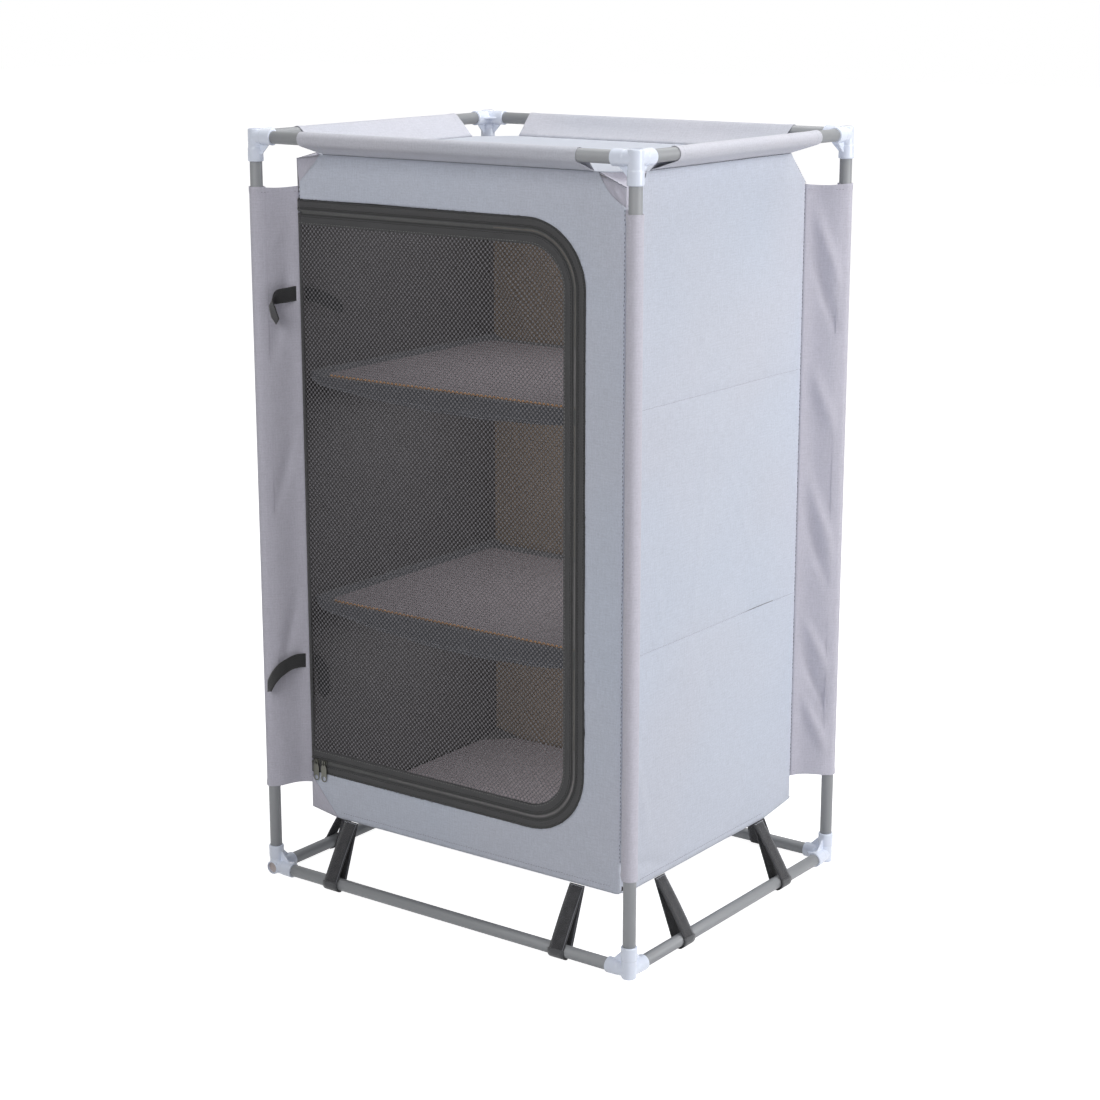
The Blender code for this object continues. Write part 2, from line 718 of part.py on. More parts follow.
def rounded_rectangle(half_x, low_y, high_y, radius):
    points = []
    for centre_x, centre_y, start in ((half_x - radius, high_y - radius, 0),
                                      (-half_x + radius, high_y - radius, 90),
                                      (-half_x + radius, low_y + radius, 180),
                                      (half_x - radius, low_y + radius, 270)):
        points += arc((centre_x, centre_y), radius, start, start + 90, 3)
    return points


def make_shelf(level, seam):
    """A cloth sling sewn to three walls, with a hanging front band and a board."""
    board_high = seam - SHELF_BOARD_DROP
    board_low = board_high - SHELF_BOARD_THICKNESS
    front = -BODY_Y + SHELF_BOARD_FRONT_GAP
    back = BODY_Y - SHELF_BOARD_BACK_GAP
    half = BODY_X - SHELF_BOARD_SIDE_GAP
    outline = rounded_rectangle(half, front, back, SHELF_BOARD_CORNER)
    curve = outline_curve(level + "_shelf_board", [outline], SHELF_BOARD_THICKNESS)
    place = Matrix.Translation((0, 0, (board_high + board_low) / 2))
    add_part(level + "_shelf_board", curve, "shelf_board", place)

    wall = BODY_X - CLOTH - TOUCH_GAP
    flank = wall - SHELF_CLOTH_FLANK
    upper = board_low - TOUCH_GAP
    rise = seam
    sling = [
        (-wall, rise), (-flank, upper), (flank, upper), (wall, rise),
        (wall, rise - CLOTH), (flank, upper - CLOTH), (-flank, upper - CLOTH), (-wall, rise - CLOTH),
    ]
    cloth_front = -BODY_Y + SHELF_FRONT_SETBACK
    cloth_back = BODY_Y - CLOTH - TOUCH_GAP
    flat = add_tool("sling_outline", outline_curve("sling", [sling], cloth_back - cloth_front))
    place = facing_front((cloth_front + cloth_back) / 2)
    base = add_tool("sling_" + level, evaluated_mesh(flat), place)
    bpy.data.objects.remove(flat, do_unlink=True)

    end_height = SHELF_BAND_END_HEIGHT
    band = [(wall, rise - CLOTH), (wall, rise - end_height)]
    steps = 8
    for i in range(1, steps):
        share = 1 - 2 * i / steps
        sag = (SHELF_BAND_HEIGHT - end_height) * (1 - share * share)
        band.append((wall * share, rise - end_height - sag))
    band += [(-wall, rise - end_height), (-wall, rise - CLOTH)]
    middle = upper - CLOTH / 2
    band += [(-flank, middle), (flank, middle)]
    flat = add_tool("band_outline", outline_curve("band", [band], CLOTH))
    place = facing_front(cloth_front - CLOTH / 2 + TOUCH_GAP)
    hanging = add_tool("band_" + level, evaluated_mesh(flat), place)
    bpy.data.objects.remove(flat, do_unlink=True)
    bpy.context.view_layer.update()
    add_part(level + "_shelf_cloth", combined_mesh(base, [hanging], []), "shelf_cloth")


# Door and zip

def strip_outline(outer_inset, inner_inset, shift):
    outer = shifted_left_end(door_path(outer_inset), shift)
    inner = shifted_left_end(door_path(inner_inset), shift)
    return outer + list(reversed(inner))


def make_zip():
    """Two halves, tape and coil, either side of the line that opens."""
    coil_face = ZIP_TAPE_WIDTH + ZIP_COIL_WIDTH
    lap = ZIP_COIL_WIDTH / 2
    halves = {
        "zip_half_body": ((TOUCH_GAP, ZIP_TAPE_WIDTH + lap), (ZIP_TAPE_WIDTH, coil_face), 0),
        "zip_half_door": ((DOOR_SIDE_TAPE - lap, DOOR_SIDE_TAPE + ZIP_TAPE_WIDTH),
                          (DOOR_SIDE_COIL, DOOR_SIDE_TAPE), DOOR_HINGE_GAP),
    }
    for name, (tape_span, coil_span, shift) in halves.items():
        solids = []
        for kind, span, thickness in (("coil", coil_span, ZIP_COIL_THICKNESS),
                                      ("tape", tape_span, ZIP_TAPE_THICKNESS)):
            outline = strip_outline(*span, shift)
            flat = add_tool(kind + "_outline", outline_curve(kind, [outline], thickness))
            solids.append(add_tool(name + "_" + kind, evaluated_mesh(flat)))
            bpy.data.objects.remove(flat, do_unlink=True)
        bpy.context.view_layer.update()
        mesh = combined_mesh(solids[0], solids[1:], [])
        add_part(name, mesh, "zip_tape", facing_front(DOOR_PLANE))


def make_net():
    """Door net: staggered diamond gaps in a thin sheet, a coarse stand for the knit."""
    edge = shifted_left_end(door_path(NET_EDGE), DOOR_HINGE_GAP)
    left = DOOR_LEFT + DOOR_HINGE_GAP + NET_BORDER
    right = DOOR_RIGHT - NET_EDGE - NET_BORDER
    low = DOOR_BOTTOM + NET_EDGE + NET_BORDER
    high = DOOR_TOP - NET_EDGE - NET_BORDER
    pitch_x = (right - left) / NET_COLUMNS
    pitch_z = (high - low) / NET_ROWS
    half_x = pitch_x / 2 - NET_STRAND / 2
    half_z = pitch_z / 2 - NET_STRAND / 2
    corner = DOOR_CORNER_RADIUS - NET_EDGE
    gaps = []
    for stagger in (0, 1):
        for row in range(NET_ROWS - stagger):
            for column in range(NET_COLUMNS - stagger):
                x = left + pitch_x * (column + (1 + stagger) / 2)
                z = low + pitch_z * (row + (1 + stagger) / 2)
                in_corner_x = x + pitch_x / 2 > right + NET_BORDER - corner / 2
                near_end = min(z - low, high - z) - pitch_z / 2 < corner / 2 - NET_BORDER
                if in_corner_x and near_end:
                    continue
                gaps.append([(x - half_x, z), (x, z - half_z), (x + half_x, z), (x, z + half_z)])
    print("net gaps:", len(gaps))
    curve = outline_curve("door_net", [edge, *gaps], NET_THICKNESS)
    add_part("door_net", curve, "door_net", facing_front(DOOR_PLANE))


def slider_mesh():
    """Zip slider, its travel along X, the door's side of the zip towards +Z."""
    half = SLIDER_LENGTH / 2
    wide = SLIDER_WIDTH / 2
    tape_face = ZIP_COIL_THICKNESS / 2 + TOUCH_GAP
    plate_face = tape_face + SLIDER_PLATE
    neck = SLIDER_NECK / 2
    bar_in = plate_face + 2 * TOUCH_GAP + PULL_THICKNESS
    bar_out = bar_in + BAIL_BAR
    front = box_mesh("slider_front", (-half, -plate_face, -wide), (half, -tape_face, wide))
    base = add_tool("slider_front", front)
    bevel = base.modifiers.new("edges", "BEVEL")
    bevel.width = SLIDER_PLATE / 3
    bevel.segments = 1
    shapes = [
        ("slider_neck", (-half, -tape_face - SLIDER_PLATE / 2, -neck),
         (-half + SLIDER_NECK_LENGTH, tape_face + SLIDER_PLATE / 2, neck)),
        ("slider_back", (-half, tape_face, -neck), (half, plate_face, wide)),
        ("bail_leg_low", (-BAIL_LENGTH / 2, -bar_out, -BAIL_SPAN / 2),
         (BAIL_LENGTH / 2, -tape_face - SLIDER_PLATE / 2, -BAIL_SPAN / 2 + BAIL_LEG)),
        ("bail_leg_high", (-BAIL_LENGTH / 2, -bar_out, BAIL_SPAN / 2 - BAIL_LEG),
         (BAIL_LENGTH / 2, -tape_face - SLIDER_PLATE / 2, BAIL_SPAN / 2)),
        ("bail_bar", (-BAIL_LENGTH / 2, -bar_out, -BAIL_SPAN / 2),
         (BAIL_LENGTH / 2, -bar_in, BAIL_SPAN / 2)),
    ]
    joined = [add_tool(name, box_mesh(name, low, high)) for name, low, high in shapes]
    bpy.context.view_layer.update()
    return combined_mesh(base, joined, [])


def pull_outline():
    """Pull tab hanging from its crossbar at the origin: edge, window and hole."""
    bar = PULL_CROSSBAR / 2
    neck = PULL_NECK_WIDTH / 2
    half = PULL_WIDTH / 2
    shoulder = -PULL_WINDOW_LENGTH - bar - PULL_CROSSBAR
    end = bar - PULL_LENGTH
    edge = [(neck, bar), (-neck, bar), (-neck, shoulder), (-half, shoulder - (half - neck))]
    edge += arc((0, end + half), half, 180, 360, PULL_ARC_STEPS)
    edge += [(half, shoulder - (half - neck)), (neck, shoulder)]
    window = PULL_WINDOW_WIDTH / 2
    gap = [(-window, -bar), (window, -bar), (window, -bar - PULL_WINDOW_LENGTH),
           (-window, -bar - PULL_WINDOW_LENGTH)]
    hole = arc((0, end + PULL_HOLE_FROM_END), PULL_HOLE_DIAMETER / 2, 0, 330, 11)
    return [edge, gap, hole]


def make_sliders():
    """Two sliders parked at the hinge end of the lower zip, their tabs hanging."""
    zip_height = DOOR_BOTTOM + COIL_LINE
    first = DOOR_LEFT + SLIDER_EDGE_DISTANCE + SLIDER_LENGTH / 2
    plate_face = ZIP_COIL_THICKNESS / 2 + TOUCH_GAP + SLIDER_PLATE
    tab_plane = plate_face + TOUCH_GAP + PULL_THICKNESS / 2
    shared = slider_mesh()
    for index, side in enumerate(("left", "right")):
        x = first + index * SLIDER_PITCH
        place = Matrix.Translation((x, DOOR_PLANE, zip_height))
        add_part("zip_slider_" + side, shared, "zip_metal", place)
        curve = outline_curve("pull_tab_" + side, pull_outline(), PULL_THICKNESS)
        hinge = Matrix.Translation((x, 0, zip_height)) @ facing_front(DOOR_PLANE - tab_plane)
        add_part("pull_tab_" + side, curve, "zip_metal", hinge)


def tie_line(run):
    """Where the tie tapes' line along the front left wing is, this far out."""
    seam = Vector((-(BODY_X + TOUCH_GAP + CLOTH / 2), -(BODY_Y - WING_SEAM_SETBACK), 0))
    along = (Vector((-AXIS_X, -AXIS_Y, 0)) - seam).normalized()
    ahead = Vector((-along.y, along.x, 0))
    return seam + along * run + ahead * TIE_WING_SPACE


def make_tie_tapes():
    """Tapes that tie up the rolled door, a tail on the wing and a tail inside."""
    outer_shares = ((1.0, 1.0), (0.90, 0.50), (0.70, 0.16), (0.35, 0.02), (0.15, 0.0))
    inner_shares = ((0.05, 0.0), (0.35, 0.0), (0.70, 0.35), (1.0, 1.0))
    turn = tie_line(-TIE_SEAM_RUN)
    for level, height in (("upper", TIE_UPPER), ("lower", TIE_LOWER)):
        middle = Vector((0, 0, height))
        points = []
        for run_share, droop_share in outer_shares:
            droop = Vector((0, 0, TIE_DROOP * droop_share))
            points.append(tie_line(TIE_OUTER_RUN * run_share) + middle - droop)
        points.append(turn + middle)
        for run_share, droop_share in inner_shares:
            run = Vector((TIE_INNER_RUN * run_share, 0, -TIE_INNER_DROOP * droop_share))
            points.append(turn + middle + run)
        add_part("tie_tape_" + level, ribbon_mesh("tie_tape_" + level, points), "tie_tape")


def ribbon_mesh(name, points):
    """A flat tape through these places, standing on its edge."""
    work = bmesh.new()
    lines = []
    for index, spot in enumerate(points):
        before = points[max(index - 1, 0)]
        after = points[min(index + 1, len(points) - 1)]
        forward = (after - before).normalized()
        upright = Vector((0, 0, 1))
        half = (upright - forward * forward.z).normalized() * (TIE_WIDTH / 2)
        lines.append([work.verts.new(spot - half), work.verts.new(spot + half)])
    for (a, b), (c, d) in zip(lines, lines[1:]):
        work.faces.new((a, b, d, c))
    bmesh.ops.recalc_face_normals(work, faces=work.faces)
    mesh = bpy.data.meshes.new(name)
    work.to_mesh(mesh)
    work.free()
    tape = add_tool(name + "_line", mesh)
    shell = tape.modifiers.new("tape", "SOLIDIFY")
    shell.thickness = TIE_THICKNESS
    shell.offset = 0
    solid = evaluated_mesh(tape)
    bpy.data.objects.remove(tape, do_unlink=True)
    return solid


def make_pivots():
    """Empties on the joint axes, with the moving pieces parented to them."""
    door = bpy.data.objects.new("door_hinge_axis", None)
    PARTS.objects.link(door)
    door.location = (DOOR_LEFT, DOOR_PLANE, DOOR_BOTTOM)
    bpy.context.view_layer.update()
    for name in ("door_net", "zip_half_door", "zip_slider_left", "zip_slider_right"):
        keep_place(bpy.data.objects[name], door)
    for side in ("left", "right"):
        slider = bpy.data.objects["zip_slider_" + side]
        keep_place(bpy.data.objects["pull_tab_" + side], slider)


def keep_place(child, parent):
    place = child.matrix_world.copy()
    child.parent = parent
    child.matrix_parent_inverse = parent.matrix_world.inverted()
    child.matrix_world = place


clear_scene()
PARTS = new_collection("camp_kitchen_cupboard")
TOOLS = new_collection("cutters")

make_tubes()
make_connectors()
make_front_wall()
make_walls()
make_floor()
make_wings()
make_tray()
make_aprons()
make_straps()
make_shelf("upper", UPPER_SEAM)
make_shelf("lower", LOWER_SEAM)
make_zip()
make_net()
make_sliders()
make_tie_tapes()
make_pivots()
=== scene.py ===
"""Fabric camp kitchen cupboard, dressed for its picture.

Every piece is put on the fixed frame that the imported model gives, in the order in
which the cupboard goes together. Metres, +Z up, the front towards -Y.
"""

import math

import bmesh
import bpy
import numpy as np
from mathutils import Matrix, Vector


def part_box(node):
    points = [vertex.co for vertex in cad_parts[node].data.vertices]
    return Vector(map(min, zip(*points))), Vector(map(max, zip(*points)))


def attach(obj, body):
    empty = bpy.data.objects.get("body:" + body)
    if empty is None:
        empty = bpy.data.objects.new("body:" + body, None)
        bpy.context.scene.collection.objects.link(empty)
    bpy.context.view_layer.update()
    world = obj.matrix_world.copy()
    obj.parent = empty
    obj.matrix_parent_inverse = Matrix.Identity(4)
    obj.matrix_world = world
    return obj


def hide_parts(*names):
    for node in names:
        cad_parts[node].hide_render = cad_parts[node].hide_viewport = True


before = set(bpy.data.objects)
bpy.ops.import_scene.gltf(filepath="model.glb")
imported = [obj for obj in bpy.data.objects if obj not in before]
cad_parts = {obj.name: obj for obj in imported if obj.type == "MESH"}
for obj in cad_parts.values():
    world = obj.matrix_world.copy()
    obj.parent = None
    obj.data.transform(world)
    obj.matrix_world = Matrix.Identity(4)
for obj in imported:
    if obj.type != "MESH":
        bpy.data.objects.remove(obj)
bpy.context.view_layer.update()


# Steel tubes
# Thin drawn steel tube, sprayed a satin grey. A rail is one length. A post is two
# lengths, and the upper one is pushed into the lower one inside its cloth sleeve.

TUBE_WALL = 0.0008
TUBE_EDGE = 0.0002
TUBE_SIDES = 64
CORNERS = {"front_left": (-1, -1), "front_right": (1, -1), "rear_left": (-1, 1), "rear_right": (1, 1)}
MARKS_SCALE = 45.0
MARKS_SHARE = 0.6

rail_low, rail_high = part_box("top_rail_front")
TUBE_RADIUS = (rail_high.z - rail_low.z) / 2
AXIS_HIGH = (rail_high.z + rail_low.z) / 2
AXIS_Y = -(rail_high.y + rail_low.y) / 2
post_low, post_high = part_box("upper_post_front_right")
AXIS_X = (post_low.x + post_high.x) / 2
AXIS_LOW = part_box("bottom_rail_front")[0].z + TUBE_RADIUS


def photo_colour(red, green, blue):
    """A colour as it is read off a picture, 0 to 255, as the shaders want it."""
    def linear(value):
        share = value / 255
        return share / 12.92 if share <= 0.04045 else ((share + 0.055) / 1.055) ** 2.4
    return (linear(red), linear(green), linear(blue), 1)


def run_along(line):
    """How far along a line each of its points is."""
    steps = np.linalg.norm(np.diff(line, axis=0), axis=1)
    return np.concatenate([[0], np.cumsum(steps)])


def lay_flat(mesh, flat):
    """The UV map "cut" of a mesh, from the flat place of each of its vertices."""
    corners = np.empty(len(mesh.loops), int)
    mesh.loops.foreach_get("vertex_index", corners)
    layer = mesh.uv_layers.get("cut") or mesh.uv_layers.new(name="cut")
    layer.data.foreach_set("uv", flat[corners].reshape(-1))


def skin(name, points, cut=None, ring=False, loop=False):
    """A mesh over a grid of points. ring closes its rows, loop joins the last row to the first.

    The UV map "cut" holds each point's place on the flat piece, in metres.
    """
    points = np.asarray(points, float)
    rows, columns = points.shape[:2]
    across = columns + 1 if ring else columns
    down = rows + 1 if loop else rows
    if cut is None:
        row = points[rows // 2][np.arange(across) % columns]
        column = points[np.arange(down) % rows, columns // 2]
        cut = np.stack(np.meshgrid(run_along(row), run_along(column)), -1)
    r, c = np.meshgrid(np.arange(down - 1), np.arange(across - 1), indexing="ij")
    r = np.stack([r, r, r + 1, r + 1], -1).reshape(-1, 4)
    c = np.stack([c, c + 1, c + 1, c], -1).reshape(-1, 4)
    mesh = bpy.data.meshes.new(name)
    mesh.from_pydata(points.reshape(-1, 3).tolist(), [], ((r % rows) * columns + c % columns).tolist())
    layer = mesh.uv_layers.new(name="cut")
    layer.data.foreach_set("uv", np.asarray(cut, float)[r, c].reshape(-1))
    mesh.shade_smooth()
    return mesh


def placed(name, data):
    """A new object in the scene."""
    made = bpy.data.objects.new(name, data)
    bpy.context.scene.collection.objects.link(made)
    return made


def put_on(name, mesh, body, materials, replaces=(), place=None):
    """Adds a piece that rides on a body, with the materials it is given."""
    piece = placed(name, mesh)
    if place is not None:
        piece.matrix_world = place
    for material in materials:
        mesh.materials.append(material)
    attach(piece, body)
    if replaces:
        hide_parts(*replaces)
    return piece


def fill(tree, node, inputs):
    """Sets or links a shader node's inputs, each by its name or number."""
    for name, value in inputs.items():
        if isinstance(value, bpy.types.NodeSocket):
            tree.links.new(value, node.inputs[name])
        else:
            node.inputs[name].default_value = value


def add_node(tree, kind, inputs, **settings):
    made = tree.nodes.new(kind)
    for name, value in settings.items():
        setattr(made, name, value)
    fill(tree, made, inputs)
    return made


def maths(tree, operation, first, second=0.0):
    return add_node(tree, "ShaderNodeMath", {0: first, 1: second}, operation=operation).outputs[0]


def mixed(tree, share, first, second):
    """Two colours mixed. The node's own sockets for colours are numbers 6 and 7, and 2 for the result."""
    inputs = {"Factor": share, 6: first, 7: second}
    return add_node(tree, "ShaderNodeMix", inputs, data_type="RGBA").outputs[2]


def ranged(tree, value, low, high, to_low=0.0, to_high=1.0):
    settings = {"Value": value, "From Min": low, "From Max": high, "To Min": to_low, "To Max": to_high}
    return add_node(tree, "ShaderNodeMapRange", settings).outputs[0]


def noise(tree, place, scale, detail=2.0):
    settings = {"Vector": place, "Scale": scale, "Detail": detail}
    return add_node(tree, "ShaderNodeTexNoise", settings).outputs[0]


def scaled(tree, value, factor):
    """A colour or a place, times one number."""
    return add_node(tree, "ShaderNodeVectorMath", {0: value, "Scale": factor}, operation="SCALE").outputs[0]


def flat_cut(tree):
    """The place on the flat cut, in metres."""
    return add_node(tree, "ShaderNodeUVMap", {}, uv_map="cut").outputs[0]


def object_place(tree, output="Object"):
    return add_node(tree, "ShaderNodeTexCoord", {}).outputs[output]


def parts_of(tree, place):
    return add_node(tree, "ShaderNodeSeparateXYZ", {0: place}).outputs


def circle(radius, height, sides):
    return [(radius * math.cos(math.tau * i / sides), radius * math.sin(math.tau * i / sides), height)
            for i in range(sides)]


def stretched(tree, place, x, y, z=1.0):
    """The same place measured with another unit along each axis."""
    return add_node(tree, "ShaderNodeVectorMath", {0: place, 1: (x, y, z)}, operation="MULTIPLY").outputs[0]


def effect(name, inputs, outputs):
    """An empty node group for an effect, with the sockets that it shows."""
    group = bpy.data.node_groups.new(name, "ShaderNodeTree")
    for label, kind, value in inputs:
        socket = group.interface.new_socket(label, in_out="INPUT", socket_type="NodeSocket" + kind)
        socket.default_value = value
    for label, kind in outputs:
        group.interface.new_socket(label, in_out="OUTPUT", socket_type="NodeSocket" + kind)
    return group, group.nodes.new("NodeGroupInput").outputs, group.nodes.new("NodeGroupOutput").inputs


def new_material(name):
    material = bpy.data.materials.new(name)
    material.use_nodes = True
    return material, material.node_tree, material.node_tree.nodes["Principled BSDF"]


def bumped(tree, shader, height, distance, strength=1.0):
    bump = add_node(tree, "ShaderNodeBump", {"Height": height, "Distance": distance, "Strength": strength})
    tree.links.new(bump.outputs[0], shader.inputs["Normal"])


def make_handling_marks():
    """Cloudy handling marks and fine grain on paint, plastic and metal."""
    inputs = [("Colour", "Color", (1, 1, 1, 1)), ("Depth", "Float", 0.1), ("Grain scale", "Float", 900.0)]
    outputs = [("Colour", "Color"), ("Roughness", "Float"), ("Height", "Float")]
    group, given, shown = effect("handling_marks", inputs, outputs)
    place = object_place(group)
    cloud = noise(group, place, MARKS_SCALE, 3.0)
    grain = noise(group, place, given["Grain scale"], 2.0)
    marks = maths(group, "MULTIPLY", cloud, MARKS_SHARE)
    both = maths(group, "ADD", marks, maths(group, "MULTIPLY", grain, 1 - MARKS_SHARE))
    uneven = maths(group, "MULTIPLY", maths(group, "SUBTRACT", both, 0.5), given["Depth"])
    shade = maths(group, "ADD", 1.0, uneven)
    group.links.new(scaled(group, given["Colour"], shade), shown["Colour"])
    group.links.new(both, shown["Roughness"])
    group.links.new(grain, shown["Height"])
    return group


HANDLING_MARKS = make_handling_marks()


def marked_material(name, colour, depth, grain, roughness, grain_height, **constants):
    """Paint, plastic or metal: one colour under handling marks."""
    material, tree, shader = new_material(name)
    inputs = {"Colour": colour, "Depth": depth, "Grain scale": grain}
    marks = add_node(tree, "ShaderNodeGroup", inputs, node_tree=HANDLING_MARKS).outputs
    rough = ranged(tree, marks["Roughness"], 0.2, 0.8, *roughness)
    fill(tree, shader, {"Base Color": marks["Colour"], "Roughness": rough})
    fill(tree, shader, {socket.replace("_", " "): value for socket, value in constants.items()})
    bumped(tree, shader, marks["Height"], grain_height)
    return material


tube_paint = marked_material("tube_paint", photo_colour(150, 152, 155), 0.16, 1400.0, (0.46, 0.58), 0.00003,
                             Metallic=0.14)


def tube_mesh(name, length):
    """A tube along Z with its wall and the small round of its cut ends."""
    half = length / 2
    inner = TUBE_RADIUS - TUBE_WALL
    profile = [(inner, half), (TUBE_RADIUS - TUBE_EDGE, half), (TUBE_RADIUS, half - TUBE_EDGE),
               (TUBE_RADIUS, -half + TUBE_EDGE), (TUBE_RADIUS - TUBE_EDGE, -half), (inner, -half)]
    rings = [circle(radius, height, TUBE_SIDES) for radius, height in profile]
    return skin(name, rings, ring=True, loop=True)


lay_along = (Matrix.Rotation(math.radians(90), 4, "Y"), Matrix.Rotation(math.radians(90), 4, "X"),
             Matrix.Identity(4))
for node in [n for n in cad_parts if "_rail_" in n or "_post_" in n]:
    low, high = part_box(node)
    size = high - low
    axis = max(range(3), key=lambda i: size[i])
    mesh = tube_mesh(node + "_tube", size[axis])
    mesh.transform(Matrix.Translation((low + high) / 2) @ lay_along[axis])
    put_on(node + "_tube", mesh, "cupboard", [tube_paint], [node])


# Corner connectors
# Glossy moulded plastic, all eight from one mould: three sockets that the tubes push
# into, thin webs between them, and a dimple in the blind end behind the long socket.

SOCKET_REACH = 0.0310
SOCKET_RADIUS = 0.0094
BELL_START = 0.0135
BELL_RADIUS = 0.0099
BELL_STEP = 0.0006
MOUTH_RADIUS = 0.0102
MOUTH_ROUND = 0.0014
BLIND_ROUND = 0.0016
WEB_THICKNESS = 0.0022
WEB_REACH = 0.0250
DIMPLE_RADIUS = 0.0074
DIMPLE_DEPTH = 0.0040
MOULD_VOXEL = 0.00045
MOULD_SMOOTHING = 5
MOULD_SIDES = 48
BLIND_END = -AXIS_LOW


def turned_shell(work, profile, turn):
    """Adds a closed turned shape to a working mesh, its axis moved by turn."""
    rings = []
    for radius, height in profile:
        ring = circle(radius, height, MOULD_SIDES)
        rings.append([work.verts.new(turn @ Vector(spot)) for spot in ring])
    for below, above in zip(rings, rings[1:]):
        for i in range(MOULD_SIDES):
            j = (i + 1) % MOULD_SIDES
            work.faces.new((below[i], below[j], above[j], above[i]))
    work.faces.new(reversed(rings[0]))
    work.faces.new(rings[-1])


def finished(name, base):
    """The mesh of a working object after its modifiers, which is then thrown away."""
    graph = bpy.context.evaluated_depsgraph_get()
    mesh = bpy.data.meshes.new_from_object(base.evaluated_get(graph))
    mesh.name = name
    bpy.data.objects.remove(base, do_unlink=True)
    return mesh


def working_object(name, work):
    mesh = bpy.data.meshes.new(name)
    work.to_mesh(mesh)
    work.free()
    return placed(name, mesh)


def connector_moulding():
    """Sockets along +X, +Y and +Z, the blind end at -Z."""
    work = bmesh.new()
    quarter = [(1 - math.cos(t), 1 - math.sin(t)) for t in (i * math.pi / 8 for i in range(5))]
    mouth = [(MOUTH_RADIUS - MOUTH_ROUND * c, SOCKET_REACH - MOUTH_ROUND * s) for c, s in quarter]
    bell = [(SOCKET_RADIUS, BELL_START), (BELL_RADIUS, BELL_START + BELL_STEP)]
    blind = [(SOCKET_RADIUS - BLIND_ROUND * s, BLIND_END + BLIND_ROUND * c) for c, s in quarter]
    turned_shell(work, blind + bell + mouth, Matrix.Identity(4))
    side = [(SOCKET_RADIUS, 0)] + bell + mouth
    turned_shell(work, side, Matrix.Rotation(math.radians(90), 4, "Y"))
    turned_shell(work, side, Matrix.Rotation(math.radians(-90), 4, "X"))
    outline = [(0, 0), (WEB_REACH, 0), (WEB_REACH, TUBE_RADIUS), (TUBE_RADIUS, WEB_REACH), (0, WEB_REACH)]
    for first, second in ((0, 1), (0, 2), (1, 2)):
        sides = []
        for lift in (-WEB_THICKNESS / 2, WEB_THICKNESS / 2):
            corners = []
            for a, b in outline:
                spot = Vector((lift, lift, lift))
                spot[first], spot[second] = a, b
                corners.append(work.verts.new(spot))
            sides.append(corners)
        work.faces.new(sides[0])
        work.faces.new(reversed(sides[1]))
        for i in range(len(outline)):
            j = (i + 1) % len(outline)
            work.faces.new((sides[0][j], sides[0][i], sides[1][i], sides[1][j]))
    bmesh.ops.recalc_face_normals(work, faces=work.faces)
    blank = working_object("connector_blank", work)
    melt = blank.modifiers.new("melt", "REMESH")
    melt.mode = "VOXEL"
    melt.voxel_size = MOULD_VOXEL
    soft = blank.modifiers.new("soft", "SMOOTH")
    soft.iterations = MOULD_SMOOTHING
    pin_work = bmesh.new()
    pin_ends = [(DIMPLE_RADIUS, BLIND_END - DIMPLE_DEPTH), (DIMPLE_RADIUS, BLIND_END + DIMPLE_DEPTH)]
    turned_shell(pin_work, pin_ends, Matrix.Identity(4))
    pin = working_object("dimple_pin", pin_work)
    dimple = blank.modifiers.new("dimple", "BOOLEAN")
    dimple.object = pin
    mesh = finished("connector_moulding", blank)
    bpy.data.objects.remove(pin, do_unlink=True)
    mesh.shade_smooth()
    mesh.set_sharp_from_angle(angle=math.radians(50))
    return mesh


connector_plastic = marked_material("connector_plastic", photo_colour(231, 238, 253), 0.05, 260.0,
                                    (0.16, 0.24), 0.00006, Coat_Weight=0.3, Coat_Roughness=0.1)
dimple_plastic = marked_material("dimple_plastic", photo_colour(196, 184, 180), 0.20, 300.0,
                                 (0.4, 0.6), 0.00006)
moulding = connector_moulding()
moulding.materials.append(connector_plastic)
# The dimple's floor is a disc of its own in a duller plastic, a little dished towards its edge
dimple_rings = [circle(radius, BLIND_END + DIMPLE_DEPTH - lift, MOULD_SIDES)[::-1]
                for radius, lift in ((0.0, 0.0001), (0.004, 0.0001), (DIMPLE_RADIUS, 0.0006))]
dimple_floor = skin("dimple_floor", dimple_rings, ring=True)
dimple_floor.materials.append(dimple_plastic)
for level, up, height in (("bottom", 1, AXIS_LOW), ("top", -1, AXIS_HIGH)):
    for corner, (sx, sy) in CORNERS.items():
        inward = [Vector((-sx, 0, 0)), Vector((0, -sy, 0)), Vector((0, 0, up))]
        long_socket = inward.pop(1 if (level, corner) == ("bottom", "front_left") else 2)
        if inward[0].cross(inward[1]).dot(long_socket) < 0:
            inward.reverse()
        turn = Matrix((inward[0], inward[1], long_socket)).transposed().to_4x4()
        place = Matrix.Translation((sx * AXIS_X, sy * AXIS_Y, height)) @ turn
        node = "connector_" + level + "_" + corner
        # Both meshes already have their material, because all eight connectors share them
        put_on(node + "_moulding", moulding, "cupboard", [], [node], place)
        put_on(node + "_dimple", dimple_floor, "cupboard", [], [], place)


# Cloth walls
# Coated polyester oxford, four flat cuts sewn together along the upright corners. The
# front one is cut out round the door, and each has its four corners cut off.

